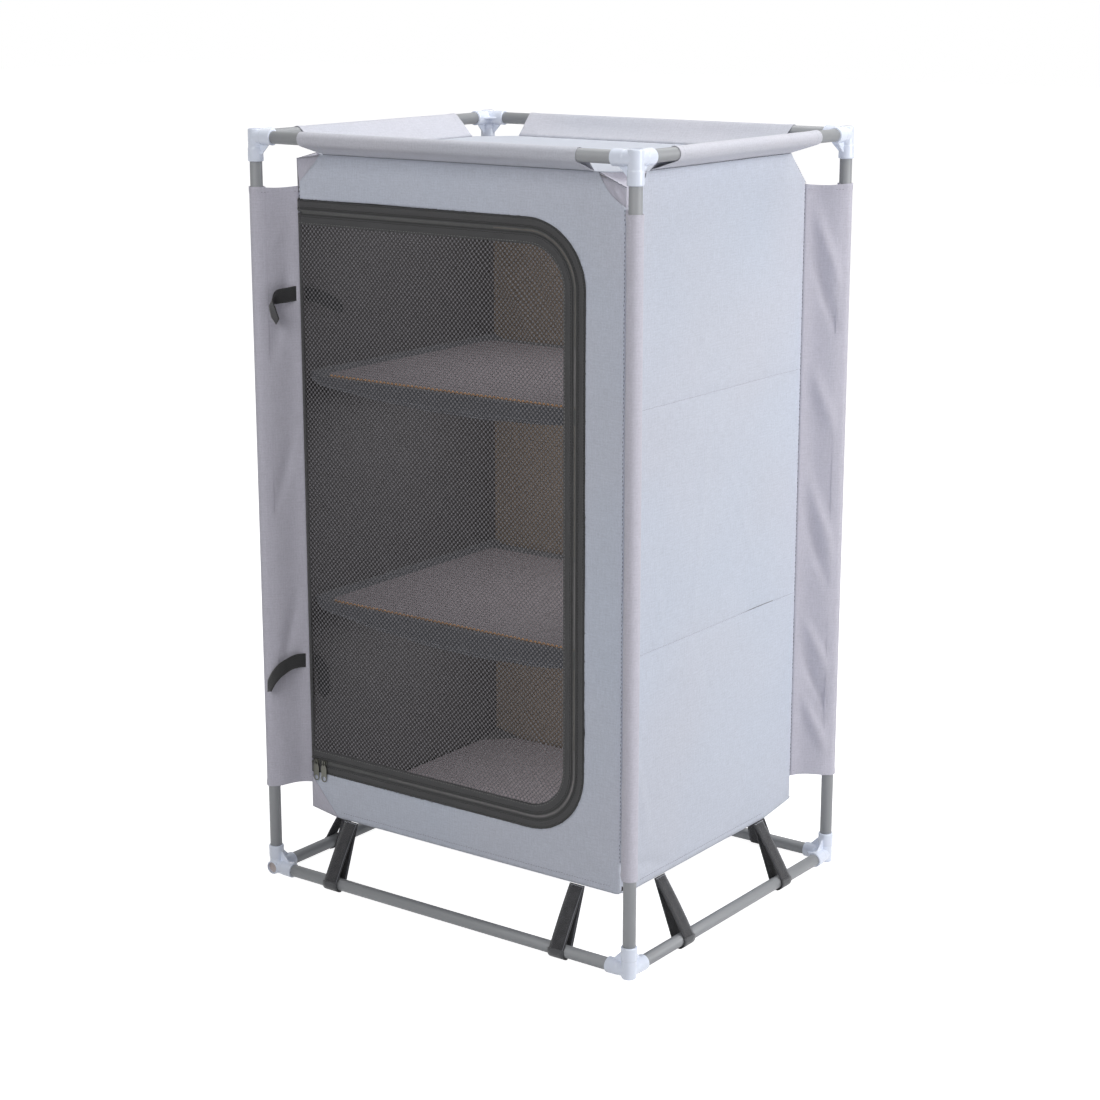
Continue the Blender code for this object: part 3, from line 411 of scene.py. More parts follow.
WALL_STEP = 0.0040
CLOTH_THICKNESS = 0.0007
CORNER_CUT = 0.040
CORNER_ROUND = 0.0030
SEAM_PINCH = 0.0009
DOOR_CORNER = 0.085
WALL_HEM = 0.0085
SHELF_SEAM_WIDTH = 0.0045
SHELF_SEAM_DEPTH = 0.0008
FINE_CREASES = 26
CREASE_LENGTH = (0.05, 0.17)
CREASE_WIDTH = (0.0040, 0.0080)
CREASE_HEIGHT = 0.0006
SLACK_FROM_SIDE = 0.09
SLACK_FROM_END = 0.05
LONGEST_RIPPLE = 0.42
RIPPLE_HEIGHT = 0.0011
PUCKER_REACH = 0.012
PUCKER_HEIGHT = 0.00035
PUCKER_LENGTH = 0.031
FRONT_CUT_SPARE = 1.05
THREAD = 0.00085
STITCH_LENGTH = 0.0026
STITCH_PITCH = 0.0040
STITCH_RADIUS = 0.00028

wall_low, wall_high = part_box("front_wall")
BODY_X = wall_high.x
BODY_Y = -wall_low.y
BODY_LOW = wall_low.z
BODY_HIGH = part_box("tray_floor")[1].z
zip_low, zip_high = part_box("zip_half_body")
SHELF_SEAMS = {level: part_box(level + "_shelf_cloth")[1].z for level in ("upper", "lower")}
DOOR_LEFT = -BODY_X
DOOR_RIGHT = zip_high.x
DOOR_LOW = zip_low.z
DOOR_HIGH = zip_high.z


def make_weave():
    """Plain weave of slightly uneven melange yarn, measured on the flat cut."""
    inputs = [("Colour", "Color", (1, 1, 1, 1)), ("Thread", "Float", THREAD), ("Melange", "Float", 0.1),
              ("Cloud", "Float", 0.04)]
    outputs = [("Colour", "Color"), ("Height", "Float"), ("Roughness", "Float")]
    group, given, shown = effect("woven_yarn", inputs, outputs)
    cut = flat_cut(group)
    parts = parts_of(group, scaled(group, cut, maths(group, "DIVIDE", math.pi, given["Thread"])))
    over = maths(group, "MULTIPLY", maths(group, "SINE", parts[0]), maths(group, "SINE", parts[1]))
    height = ranged(group, over, -1.0, 1.0)
    warp = noise(group, stretched(group, cut, 620.0, 60.0), 1.0, 3.0)
    weft = noise(group, stretched(group, cut, 60.0, 620.0), 1.0, 3.0)
    speck = noise(group, cut, 420.0, 1.0)
    yarn = maths(group, "MULTIPLY", maths(group, "ADD", maths(group, "ADD", warp, weft), speck), 1 / 3)
    cloud = maths(group, "SUBTRACT", noise(group, cut, 7.0, 3.0), 0.5)
    yarn = maths(group, "MULTIPLY", maths(group, "SUBTRACT", yarn, 0.5), given["Melange"])
    weave = maths(group, "MULTIPLY", maths(group, "SUBTRACT", height, 0.5), 0.10)
    drift = maths(group, "MULTIPLY", cloud, given["Cloud"])
    shade = maths(group, "ADD", maths(group, "ADD", yarn, weave), drift)
    group.links.new(scaled(group, given["Colour"], maths(group, "ADD", 1.0, shade)), shown["Colour"])
    group.links.new(maths(group, "ADD", height, maths(group, "MULTIPLY", yarn, 2.0)), shown["Height"])
    group.links.new(ranged(group, yarn, -0.2, 0.2, 0.95, 0.72), shown["Roughness"])
    return group


WOVEN_YARN = make_weave()


def cloth_material(name, colour, melange, cloud=0.05, thread=THREAD, relief=0.00012, sheen=0.25,
                   two_tone=None):
    """Woven cloth. two_tone is a second colour that the cloth drifts to in soft clouds."""
    material, tree, shader = new_material(name)
    if two_tone:
        drift = ranged(tree, noise(tree, object_place(tree), 3.5, 2.0), 0.35, 0.65)
        colour = mixed(tree, drift, colour, two_tone)
    inputs = {"Colour": colour, "Thread": thread, "Melange": melange, "Cloud": cloud}
    weave = add_node(tree, "ShaderNodeGroup", inputs, node_tree=WOVEN_YARN).outputs
    fill(tree, shader, {"Base Color": weave["Colour"], "Roughness": weave["Roughness"],
                        "Sheen Weight": sheen, "Sheen Roughness": 0.5, "Specular IOR Level": 0.3})
    bumped(tree, shader, weave["Height"], relief)
    return material


body_cloth = cloth_material("body_cloth", photo_colour(206, 213, 227), 0.62, 0.07,
                            two_tone=photo_colour(208, 212, 224))
inner_coating = cloth_material("inner_coating", photo_colour(104, 102, 104), 0.16, 0.10,
                               relief=0.00004, sheen=0.0)
# The inside of the back wall is painted lighter and warmer than the other walls' inside, for the light that
# comes through its cloth.
back_inside_painted_light = cloth_material("back_inside_painted_light", photo_colour(151, 136, 123), 0.20, 0.16,
                             relief=0.00008, sheen=0.0)
seam_thread = cloth_material("seam_thread", photo_colour(100, 103, 118), 0.3, thread=0.0003)
pale_thread = cloth_material("pale_thread", photo_colour(205, 208, 218), 0.2, thread=0.0003)


def cut_cloth(name, low, high, step, outside, place):
    """Cloth cut from the flat and put in place, clipped cleanly at the edge of its pattern.

    outside(a, b) is how far a pattern point lies past the edge, and place(a, b) is where
    that point is on the made-up piece.
    """
    counts = [max(2, round((high[i] - low[i]) / step) + 1) for i in (0, 1)]
    a, b = np.meshgrid(np.linspace(low[0], high[0], counts[0]), np.linspace(low[1], high[1], counts[1]),
                       indexing="ij")
    past = outside(a, b)
    within = past <= 0
    number = np.where(within, np.cumsum(within).reshape(within.shape) - 1, -1)
    pattern = [tuple(spot) for spot in np.stack([a[within], b[within]], -1)]
    cells = np.stack([within[:-1, :-1], within[1:, :-1], within[1:, 1:], within[:-1, 1:]])
    whole = cells.all(0)
    r, c = np.nonzero(whole)
    faces = np.stack([number[r, c], number[r + 1, c], number[r + 1, c + 1], number[r, c + 1]], -1).tolist()
    crossings = {}

    def crossing(first, second):
        key = (min(first, second), max(first, second))
        if key not in crossings:
            share = past[first] / (past[first] - past[second])
            crossings[key] = len(pattern)
            pattern.append(tuple(grid[first] + (grid[second] - grid[first]) * share for grid in (a, b)))
        return crossings[key]

    for r, c in zip(*np.nonzero(cells.any(0) & ~whole)):
        corners = [(r, c), (r + 1, c), (r + 1, c + 1), (r, c + 1)]
        face = []
        for here, there in zip(corners, corners[1:] + corners[:1]):
            if within[here]:
                face.append(int(number[here]))
            if within[here] != within[there]:
                face.append(crossing(here, there))
        faces.append(face)
    flat = np.array(pattern)
    mesh = bpy.data.meshes.new(name)
    mesh.from_pydata(place(flat[:, 0], flat[:, 1]).tolist(), [], faces)
    lay_flat(mesh, flat)
    mesh.shade_smooth()
    return mesh


def thicken(piece, thickness, inner_side=False, offset=-1.0):
    """Gives a cloth piece its thickness: behind the face that shows, or on both sides at offset 0."""
    shell = piece.modifiers.new("thickness", "SOLIDIFY")
    shell.thickness = thickness
    shell.offset = offset
    shell.material_offset = 1 if inner_side else 0


def crease(a, b, start, end, width, depth):
    """A soft ridge on the pattern from start to end that fades out at both ends."""
    run = (end[0] - start[0], end[1] - start[1])
    length = math.hypot(*run)
    share = ((a - start[0]) * run[0] + (b - start[1]) * run[1]) / length ** 2
    aside = ((a - start[0]) * run[1] - (b - start[1]) * run[0]) / length
    fade = np.sin(np.pi * np.clip(share, 0, 1)) ** 0.7
    return depth * fade * np.exp(-(aside / width) ** 2)


def ripples(a, b, seed, longest, height, count=7):
    """Slow unevenness of cloth that isn't quite taut."""
    draw = np.random.default_rng(seed)
    total = np.zeros_like(a)
    for _ in range(count):
        heading = draw.uniform(0, math.pi)
        length = longest * draw.uniform(0.35, 1.0)
        phase = draw.uniform(0, math.tau)
        along = a * math.cos(heading) + b * math.sin(heading)
        total = total + np.sin(along * math.tau / length + phase) * length / longest
    return height * total / math.sqrt(count)


def smooth_step(value, low, high):
    share = np.clip((value - low) / (high - low), 0, 1)
    return share * share * (3 - 2 * share)


def cut_corner(a, b, corner, size, bow=0.0):
    """How far a point lies past the cut across a corner. The cut may be bowed inwards."""
    across = (np.sign(corner[0]) * (a - corner[0]) + size[0]) / size[0]
    upright = (corner[2] * (b - corner[1]) + size[1]) / size[1]
    sag = bow * np.clip(1 - (across - upright) ** 2, 0, 1)
    slope = 1 / math.hypot(1 / size[0], 1 / size[1])
    return (across + upright - 1) * slope + sag


def door_distance(a, b, inset=0.0):
    """How far a point of the front lies outside the door's rounded edge."""
    radius = DOOR_CORNER
    middle = (DOOR_HIGH + DOOR_LOW) / 2
    past_a = a - (DOOR_RIGHT - radius)
    past_b = np.abs(b - middle) - ((DOOR_HIGH - DOOR_LOW) / 2 - radius)
    inside = np.minimum(np.maximum(past_a, past_b), 0)
    return inside + np.hypot(np.maximum(past_a, 0), np.maximum(past_b, 0)) - radius + inset


def turned_corner(across, half):
    """Where a wall goes as it turns into its corner seams: along the wall, and behind it."""
    start = half - CORNER_ROUND
    turn = np.clip((np.abs(across) - start) / CORNER_ROUND, 0, math.pi / 4)
    along = np.minimum(np.abs(across), start) + CORNER_ROUND * np.sin(turn)
    pinch = SEAM_PINCH * smooth_step(turn, math.pi / 8, math.pi / 4)
    return np.sign(across) * (along - pinch), CORNER_ROUND * (1 - np.cos(turn)) + pinch


# Along each side from left to right as seen from outside, and outwards
SIDE_WAYS = {
    "front": (Vector((1, 0, 0)), Vector((0, -1, 0))), "right": (Vector((0, 1, 0)), Vector((1, 0, 0))),
    "rear": (Vector((-1, 0, 0)), Vector((0, 1, 0))), "left": (Vector((0, -1, 0)), Vector((-1, 0, 0))),
}
# Each wall's two ways, half its width, and how far out it stands
WALLS = {
    "front": (*SIDE_WAYS["front"], BODY_X, BODY_Y), "right": (*SIDE_WAYS["right"], BODY_Y, BODY_X),
    "back": (*SIDE_WAYS["rear"], BODY_X, BODY_Y), "left": (*SIDE_WAYS["left"], BODY_Y, BODY_X),
}
FULL_CUT = (CORNER_CUT, CORNER_CUT)
# Each corner's cut on the front or back wall, on the side wall, and how far it is bowed in
CORNER_CUTS = {
    ("bottom", "front_left"): ((0.046, 0.007), (0.040, 0.007), 0.0),
    ("bottom", "front_right"): ((0.006, 0.005), (0.030, 0.011), 0.0),
    ("bottom", "rear_right"): ((0.050, 0.009), (0.069, 0.009), 0.0),
    ("bottom", "rear_left"): ((0.050, 0.010), (0.046, 0.010), 0.0),
    ("top", "front_left"): (FULL_CUT, FULL_CUT, 0.001),
    ("top", "front_right"): (FULL_CUT, FULL_CUT, 0.006),
    ("top", "rear_right"): (FULL_CUT, FULL_CUT, 0.002),
    ("top", "rear_left"): (FULL_CUT, FULL_CUT, 0.002),
}
# Left and right corner of each wall, seen from outside, and which cut of the two is its own
WALL_CORNERS = {"front": ("front_left", "front_right", 0), "right": ("front_right", "rear_right", 1),
                "back": ("rear_right", "rear_left", 0), "left": ("rear_left", "front_left", 1)}
# Start, end, width and height of the larger creases seen on the walls
WALL_CREASES = {
    "right": [
        ((-0.02, 0.66), (-0.055, 0.38), 0.006, 0.0011), ((0.0, 0.64), (0.11, 0.42), 0.006, 0.0010),
        ((-0.19, 0.30), (-0.14, 0.12), 0.010, 0.0016), ((-0.20, 0.125), (-0.10, 0.098), 0.008, -0.0016),
    ],
    "front": [
        ((-0.245, 0.142), (-0.185, 0.092), 0.006, 0.0014), ((0.19, 0.33), (0.246, 0.27), 0.006, 0.0012),
        ((0.18, 0.30), (0.245, 0.245), 0.006, -0.0010), ((0.17, 0.15), (0.25, 0.115), 0.009, 0.0016),
        ((0.14, 0.125), (0.245, 0.10), 0.008, -0.0012),
    ],
}


def wall_swell(side, a, b, half):
    """How far a wall stands out of its plane, in metres: slack, creases and puckered seams."""
    middle = (BODY_LOW + BODY_HIGH) / 2
    seed = list(WALLS).index(side) + 3
    from_end = np.minimum(b - BODY_LOW, BODY_HIGH - b)
    loose = smooth_step(half - np.abs(a), 0.0, SLACK_FROM_SIDE) * smooth_step(from_end, 0, SLACK_FROM_END)
    swell = ripples(a, b - middle, seed, LONGEST_RIPPLE, RIPPLE_HEIGHT) * loose
    seam = np.exp(-(half - np.abs(a)) / PUCKER_REACH)
    pucker = np.sin(b * math.tau / PUCKER_LENGTH + np.sin(b * 37.0) * 1.4)
    swell = swell + PUCKER_HEIGHT * seam * pucker * loose
    draw = np.random.default_rng(seed + 40)
    for _ in range(FINE_CREASES):
        start = (draw.uniform(-0.85, 0.85) * half, draw.uniform(BODY_LOW, BODY_HIGH))
        heading = math.pi / 2 + draw.normal(0, 0.55)
        length = draw.uniform(*CREASE_LENGTH)
        end = (start[0] + length * math.cos(heading), start[1] + length * math.sin(heading))
        height = draw.uniform(-CREASE_HEIGHT, CREASE_HEIGHT)
        swell = swell + crease(a, b, start, end, draw.uniform(*CREASE_WIDTH), height) * loose
    if side != "front":
        for seam_height in SHELF_SEAMS.values():
            swell = swell - SHELF_SEAM_DEPTH * np.exp(-((b - seam_height) / SHELF_SEAM_WIDTH) ** 2) * loose
    for start, end, width, height in WALL_CREASES.get(side, ()):
        swell = swell + crease(a, b, start, end, width, height)
    return swell


def wall_edges(side, half):
    """The pattern's edge of one wall."""
    left, right, own = WALL_CORNERS[side]
    shapes = [(CORNER_CUTS[key][own], CORNER_CUTS[key][2])
              for key in (("bottom", left), ("bottom", right), ("top", right), ("top", left))]
    places = ((-half, BODY_LOW, -1), (half, BODY_LOW, -1), (half, BODY_HIGH, 1), (-half, BODY_HIGH, 1))

    def outside(a, b):
        past = np.maximum.reduce([np.abs(a) - pattern_half(half), b - BODY_HIGH, BODY_LOW - b])
        for spot, (size, bow) in zip(places, shapes):
            past = np.maximum(past, cut_corner(a, b, spot, size, bow))
        return np.maximum(past, -door_distance(a, b)) if side == "front" else past
    return outside


def pattern_half(half):
    return half - CORNER_ROUND + CORNER_ROUND * math.pi / 4


def wall_place(side):
    along, out, half, distance = WALLS[side]

    def place(a, b):
        across, behind = turned_corner(a, half)
        stands = distance - behind + wall_swell(side, a, b, half)
        spots = np.outer(across, along) + np.outer(stands, out)
        spots[:, 2] = b
        return spots
    return place


for side, (along, out, half, distance) in WALLS.items():
    wide = pattern_half(half)
    mesh = cut_cloth(side + "_wall_cloth", (-wide, BODY_LOW), (wide, BODY_HIGH), WALL_STEP,
                     wall_edges(side, half), wall_place(side))
    # Seen from outside the pattern runs left to right, so its faces already look outwards
    # The back wall's inside takes the colour painted for the light that comes through it.
    lining = back_inside_painted_light if side == "back" else inner_coating
    wall = put_on(side + "_wall_cloth", mesh, "cupboard", [body_cloth, lining],
                  [side + "_wall"])
    thicken(wall, CLOTH_THICKNESS, inner_side=True)
    area = sum(face.area for face in mesh.polygons)
    size = (2 * wide, BODY_HIGH - BODY_LOW)
    if side == "front":
        # Its door opening leaves a frame of cloth, given here as one band laid out straight
        size = (BODY_X - DOOR_RIGHT, FRONT_CUT_SPARE * area / (BODY_X - DOOR_RIGHT))


# Floor panel and corner gussets
# The floor is the same oxford, sewn to the walls' lower edges round a turned-in hem.
# Small triangles of it close each cut-off corner, top and bottom.

GUSSET_STEPS = 14
GUSSET_SAG = 0.0022
GUSSET_RIPPLE = 0.0006
GUSSET_BEHIND = 0.0006
EAR_CRUMPLE = 0.0012
EAR_HOLLOW = 0.0008
EAR_TUCK = 0.0065
EAR_LAP = 0.010
EAR_BEHIND = 0.0012
LAP_PROUD = 0.0009
LAP_INSET = 0.0006
FLOOR_STEP = 0.008
FLOOR_EDGE = 0.001
FLOOR_ABOVE = 0.0002
FLOOR_SAG = 0.00015
SLACK_REACH = 0.1


def octagon_outside(half_x, half_y, cut):
    def outside(a, b):
        past = np.maximum(np.abs(a) - half_x, np.abs(b) - half_y)
        return np.maximum(past, (np.abs(a) - half_x + np.abs(b) - half_y + cut) / math.sqrt(2))
    return outside


def floor_outside(a, b):
    """The floor panel's edge: four straight sides and the cut of each bottom corner."""
    past = np.maximum(np.abs(a) - BODY_X, np.abs(b) - BODY_Y) + FLOOR_EDGE
    for corner, (sx, sy) in CORNERS.items():
        front, side, _ = CORNER_CUTS["bottom", corner]
        share = (sx * a - BODY_X) / front[0] + (sy * b - BODY_Y) / side[0] + 1
        past = np.maximum(past, share / math.hypot(1 / front[0], 1 / side[0]))
    return past


def floor_place(a, b):
    slack = smooth_step(np.minimum(BODY_X - np.abs(a), BODY_Y - np.abs(b)), 0, SLACK_REACH)
    return np.stack([a, b, BODY_LOW + FLOOR_ABOVE - FLOOR_SAG * slack], -1)


floor_mesh = cut_cloth("floor_panel_cloth", (-BODY_X, -BODY_Y), (BODY_X, BODY_Y), FLOOR_STEP,
                       floor_outside, floor_place)
floor_mesh.flip_normals()
floor_panel = put_on("floor_panel_cloth", floor_mesh, "cupboard",
                     [body_cloth, inner_coating], ["floor_panel"])
thicken(floor_panel, CLOTH_THICKNESS, inner_side=True)


def gusset_mesh(name, tips, outward, push):
    """A triangle of cloth between three tips, pushed out of flat by push(u, v)."""
    first, second, third = tips
    work = bmesh.new()
    cut = work.loops.layers.uv.new("cut")
    spots, flat = {}, {}
    count = GUSSET_STEPS
    for i in range(count + 1):
        for j in range(count + 1 - i):
            u, v = i / count, j / count
            spot = first * (1 - u - v) + second * u + third * v + outward * push(u, v)
            spots[i, j] = work.verts.new(spot)
            flat[i, j] = (u * (second - first).length, v * (third - first).length)

    def add(*keys):
        face = work.faces.new([spots[k] for k in keys])
        for loop, key in zip(face.loops, keys):
            loop[cut].uv = flat[key]

    for i in range(count):
        for j in range(count - i):
            add((i, j), (i + 1, j), (i, j + 1))
            if j < count - i - 1:
                add((i + 1, j), (i + 1, j + 1), (i, j + 1))
    bmesh.ops.recalc_face_normals(work, faces=work.faces)
    work.faces.ensure_lookup_table()
    work.normal_update()
    if work.faces[0].normal.dot(outward) < 0:
        bmesh.ops.reverse_faces(work, faces=work.faces)
    mesh = bpy.data.meshes.new(name)
    work.to_mesh(mesh)
    work.free()
    mesh.shade_smooth()
    return mesh


def bulge(u, v):
    """1 in the middle of a triangle and 0 along its edges."""
    return 27 * u * v * (1 - u - v)


def soft_push(u, v):
    return bulge(u, v) * (GUSSET_RIPPLE * math.sin(9 * u - 4 * v) - GUSSET_SAG)


def small_push(u, v):
    return GUSSET_RIPPLE * bulge(u, v)


def crumpled_push(u, v):
    """Cloth that was pressed and never came flat again."""
    waves = math.sin(14 * u - 6 * v) - math.sin(9 * v + 5 * u)
    return bulge(u, v) * (EAR_CRUMPLE * waves - EAR_HOLLOW)


def tucked_push(u, v):
    """The top of an ear, folded in under the tray's edge."""
    return -EAR_TUCK * max(0.0, bulge(u, v)) ** 0.7


# The gusset facets that turn up and aside take the body cloth tinted lilac and a little darker: painted
# shade.
gusset_cloth_painted_shade = cloth_material("gusset_cloth_painted_shade", photo_colour(205, 203, 215), 0.60)


def add_gusset(name, tips, outward, push, cloth):
    """One triangle of cloth in a corner."""
    mesh = gusset_mesh(name, tips, outward, push)
    gusset = put_on(name, mesh, "cupboard", [cloth, inner_coating])
    thicken(gusset, CLOTH_THICKNESS, inner_side=True)


# At the front left the bottom gusset laps up over the front wall as well: each tip's way in and up
lap_tips = [Vector((-BODY_X + inset, -BODY_Y - LAP_PROUD, BODY_LOW + height)) for inset, height in
            ((LAP_INSET, 0.052), (LAP_INSET, 0.0074), (CORNER_CUTS["bottom", "front_left"][0][0], 0.0003))]
add_gusset("gusset_lap_front_left", lap_tips, Vector((0, -1, 0)), small_push, gusset_cloth_painted_shade)

# Two top corners stand out as ears: how far in from the corner, and the height of the tip
EARS = {"front_left": (0.0002, 0.9621), "front_right": (0.0040, 0.9520)}

for corner, (sx, sy) in CORNERS.items():
    for level, edge, up in (("bottom", BODY_LOW, 1), ("top", BODY_HIGH, -1)):
        front, side, _ = CORNER_CUTS[level, corner]
        tips = [Vector((sx * BODY_X, sy * BODY_Y, edge + up * front[1])),
                Vector((sx * (BODY_X - front[0]), sy * BODY_Y, edge)),
                Vector((sx * BODY_X, sy * (BODY_Y - side[0]), edge))]
        outward = Vector((sx, sy, -up)).normalized()
        name = "gusset_" + level + "_" + corner
        if level == "bottom" or corner not in EARS:
            tips = [tip - outward * GUSSET_BEHIND for tip in tips]
            push, cloth = (soft_push, gusset_cloth_painted_shade) if level == "top" else (small_push, body_cloth)
            add_gusset(name, tips, outward, push, cloth)
            continue
        inset, height = EARS[corner]
        ear = Vector((sx * (BODY_X - inset), sy * (BODY_Y - inset), height))
        root, front_tip, side_tip = tips
        out_x, out_y = Vector((sx, 0, 0)), Vector((0, sy, 0))
        below = Vector((0, 0, -EAR_LAP))
        low_front = root + below - out_y * EAR_BEHIND
        low_side = root + below - out_x * EAR_BEHIND
        far_front = front_tip - out_x * EAR_LAP - out_y * EAR_BEHIND
        far_side = side_tip - out_y * EAR_LAP - out_x * EAR_BEHIND
        dip = below * 0.12
        facets = (
            ("front", (low_front, far_front, ear), out_y, crumpled_push),
            ("side", (low_side, ear, far_side), out_x, crumpled_push),
            ("top", (ear, front_tip + dip, side_tip + dip), Vector((sx, sy, 1)).normalized(), tucked_push),
        )
        for part, corners, facing, push in facets:
            add_gusset(name + "_" + part, corners, facing, push, gusset_cloth_painted_shade)


# Post wings
# One strip of a warmer grey oxford from each upright body seam to its post. It is
# folded round the post and sewn back on itself, which makes the sleeve.

WING_HEM = 0.007
WING_ROOT = (0.0008, 0.0036)
WING_EASE = 0.22
WING_STEP = 0.0045
WING_STEPS = 14
LAP_STEP = 12
WING_DIP = 0.0018
WING_RIPPLE = 0.0010
WRAP_STEPS = 30
WRAP_TURN = math.tau * 0.86
SLEEVE_RADIUS = 0.0093
HEM_ROW = 0.0008
STITCH_GROOVE = 0.0010
STITCH_PROUD = 0.0006
SEAM_ROW = 0.0034
SEAM_INSET = 0.0014
SEAM_PROUD = 0.0011
SPINDLE_SIDES = 6
WING_LOW, WING_HIGH = (corner.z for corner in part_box("wing_front_left"))


def spindle(half, radius, shoulder, crosswise=False):
    """Points and faces of a small bar with pointed ends, along X, or along Y if it is crosswise."""
    sides = SPINDLE_SIDES
    spots = [(-half, 0, 0)]
    for along, swell in ((-half * shoulder, 0.8), (0.0, 1.0), (half * shoulder, 0.8)):
        spots += [(along, y, z) for y, z, _ in circle(radius * swell, 0, sides)]
    spots.append((half, 0, 0))
    last = len(spots) - 1
    ahead = [(k, (k + 1) % sides) for k in range(sides)]
    faces = [(0, 1 + after, 1 + k) for k, after in ahead]
    for start in (1, 1 + sides):
        faces += [(start + k, start + after, start + sides + after, start + sides + k) for k, after in ahead]
    faces += [(last, last - sides + k, last - sides + after) for k, after in ahead]
    if crosswise:
        spots = [(y, x, z) for x, y, z in spots]
        faces = [(first, *rest[::-1]) for first, *rest in faces]
    return spots, faces


def sewn_line(name, lines, thread, body="cupboard", pitch=STITCH_PITCH,
              length=STITCH_LENGTH, radius=STITCH_RADIUS, waves=0.0):
    """Rows of real stitches, each a small rounded bar of thread half sunk in the cloth.

    lines is a list of (points along the row, the side that it shows on).
    """
    mesh = set_along(name, lines, pitch, *spindle(length / 2, radius, 0.8), waves)
    put_on(name, mesh, body, [thread])


def unit(ways):
    """Each way at length 1."""
    return ways / np.linalg.norm(ways, axis=1, keepdims=True)


def set_along(name, lines, pitch, shape, faces, waves=0.0):
    """Copies of a small shape at even steps along lines: X along, Z to the side that shows."""
    shape = np.array(shape)
    spots, made = [], []
    draw = np.random.default_rng(11)
    for points, outward in lines:
        points = np.asarray(points, float)
        outward = np.broadcast_to(np.asarray(outward, float), points.shape)
        gone = run_along(points)
        stops = np.arange(pitch / 2, gone[-1] - pitch / 4, pitch)
        if len(stops) == 0:
            continue

        def at(values, shift=0.0):
            return np.stack([np.interp(stops + shift, gone, values[:, i]) for i in range(3)], -1)

        along = unit(at(points, pitch / 4) - at(points, -pitch / 4))
        out = at(outward)
        out = unit(out - along * np.sum(out * along, axis=1, keepdims=True))
        aside = np.cross(out, along)
        middle = at(points) + aside * draw.normal(0, max(waves, 1e-9), (len(stops), 1))
        copies = middle[:, None] + sum(way[:, None] * shape[:, i, None]
                                       for i, way in enumerate((along, aside, out)))
        start = sum(len(s) for s in spots)
        spots.append(copies.reshape(-1, 3))
        for i in range(len(stops)):
            made += [tuple(start + i * len(shape) + k for k in face) for face in faces]
    mesh = bpy.data.meshes.new(name)
    mesh.from_pydata(np.concatenate(spots).tolist(), [], made)
    mesh.shade_smooth()
    return mesh


def on_skin(place, pattern, lift):
    """A row on a made-up cloth: its points, and the way the cloth faces there."""
    a, b = np.array(pattern, float).T
    nudge = 0.001
    here = place(a, b)
    a_way = place(a + nudge, b) - place(a - nudge, b)
    b_way = place(a, b + nudge) - place(a, b - nudge)
    out = unit(np.cross(a_way, b_way))
    return here + out * lift, out


def straight(start, end, count=40):
    share = np.linspace(0, 1, count)[:, None]
    return np.asarray(start, float) * (1 - share) + np.asarray(end, float) * share


def hemmed(low, high, step):
    """Even steps from low to high, with one more row close to each end."""
    inner = np.linspace(low + HEM_ROW, high - HEM_ROW, round((high - low) / step))
    return np.concatenate([[low], inner, [high]])


def hem_relief(from_end, hem, rise, groove):
    """A turned hem stands a little proud and has a groove along its stitches."""
    raised = rise * smooth_step(hem - from_end, -HEM_ROW, HEM_ROW)
    return raised - groove * np.exp(-((from_end - hem) / STITCH_GROOVE) ** 2)


def wing_section(sx, sy):
    """Plan of a wing from the body seam to the post, round it, and back to the lap."""
    seam = Vector((sx * (BODY_X - WING_ROOT[0]), sy * (BODY_Y - WING_ROOT[1])))
    post = Vector((sx * AXIS_X, sy * AXIS_Y))
    toward = post - seam
    reach = toward.length
    toward.normalize()
    # The sheet leaves the sleeve on its front side, where the picture shows it flush
    front = Vector((-toward.y, toward.x))
    if front.y > 0:
        front = -front
    lean = math.asin(SLEEVE_RADIUS / reach)
    start = -toward * math.sin(lean) + front * math.cos(lean)
    run = post + start * SLEEVE_RADIUS - seam
    outwards, forwards = toward * run.dot(toward), front * run.dot(front)
    points = []
    for share in (i / WING_STEPS for i in range(WING_STEPS + 1)):
        eased = max(0.0, (share - WING_EASE) / (1 - WING_EASE))
        points.append(seam + outwards * share + forwards * eased ** 2 * (3 - 2 * eased))
    clockwise = start.x * toward.y - start.y * toward.x < 0
    for i in range(1, WRAP_STEPS + 1):
        angle = WRAP_TURN * i / WRAP_STEPS * (-1 if clockwise else 1)
        points.append(post + Matrix.Rotation(angle, 2) @ start * SLEEVE_RADIUS)
    points.append(post + start * (SLEEVE_RADIUS - 0.0009) - toward * SLEEVE_RADIUS * 0.9)
    return np.array(points), front


wing_cloth = cloth_material("wing_cloth", photo_colour(206, 204, 216), 0.60, 0.07)
wing_thread = cloth_material("wing_thread", photo_colour(142, 138, 154), 0.3, thread=0.0003)
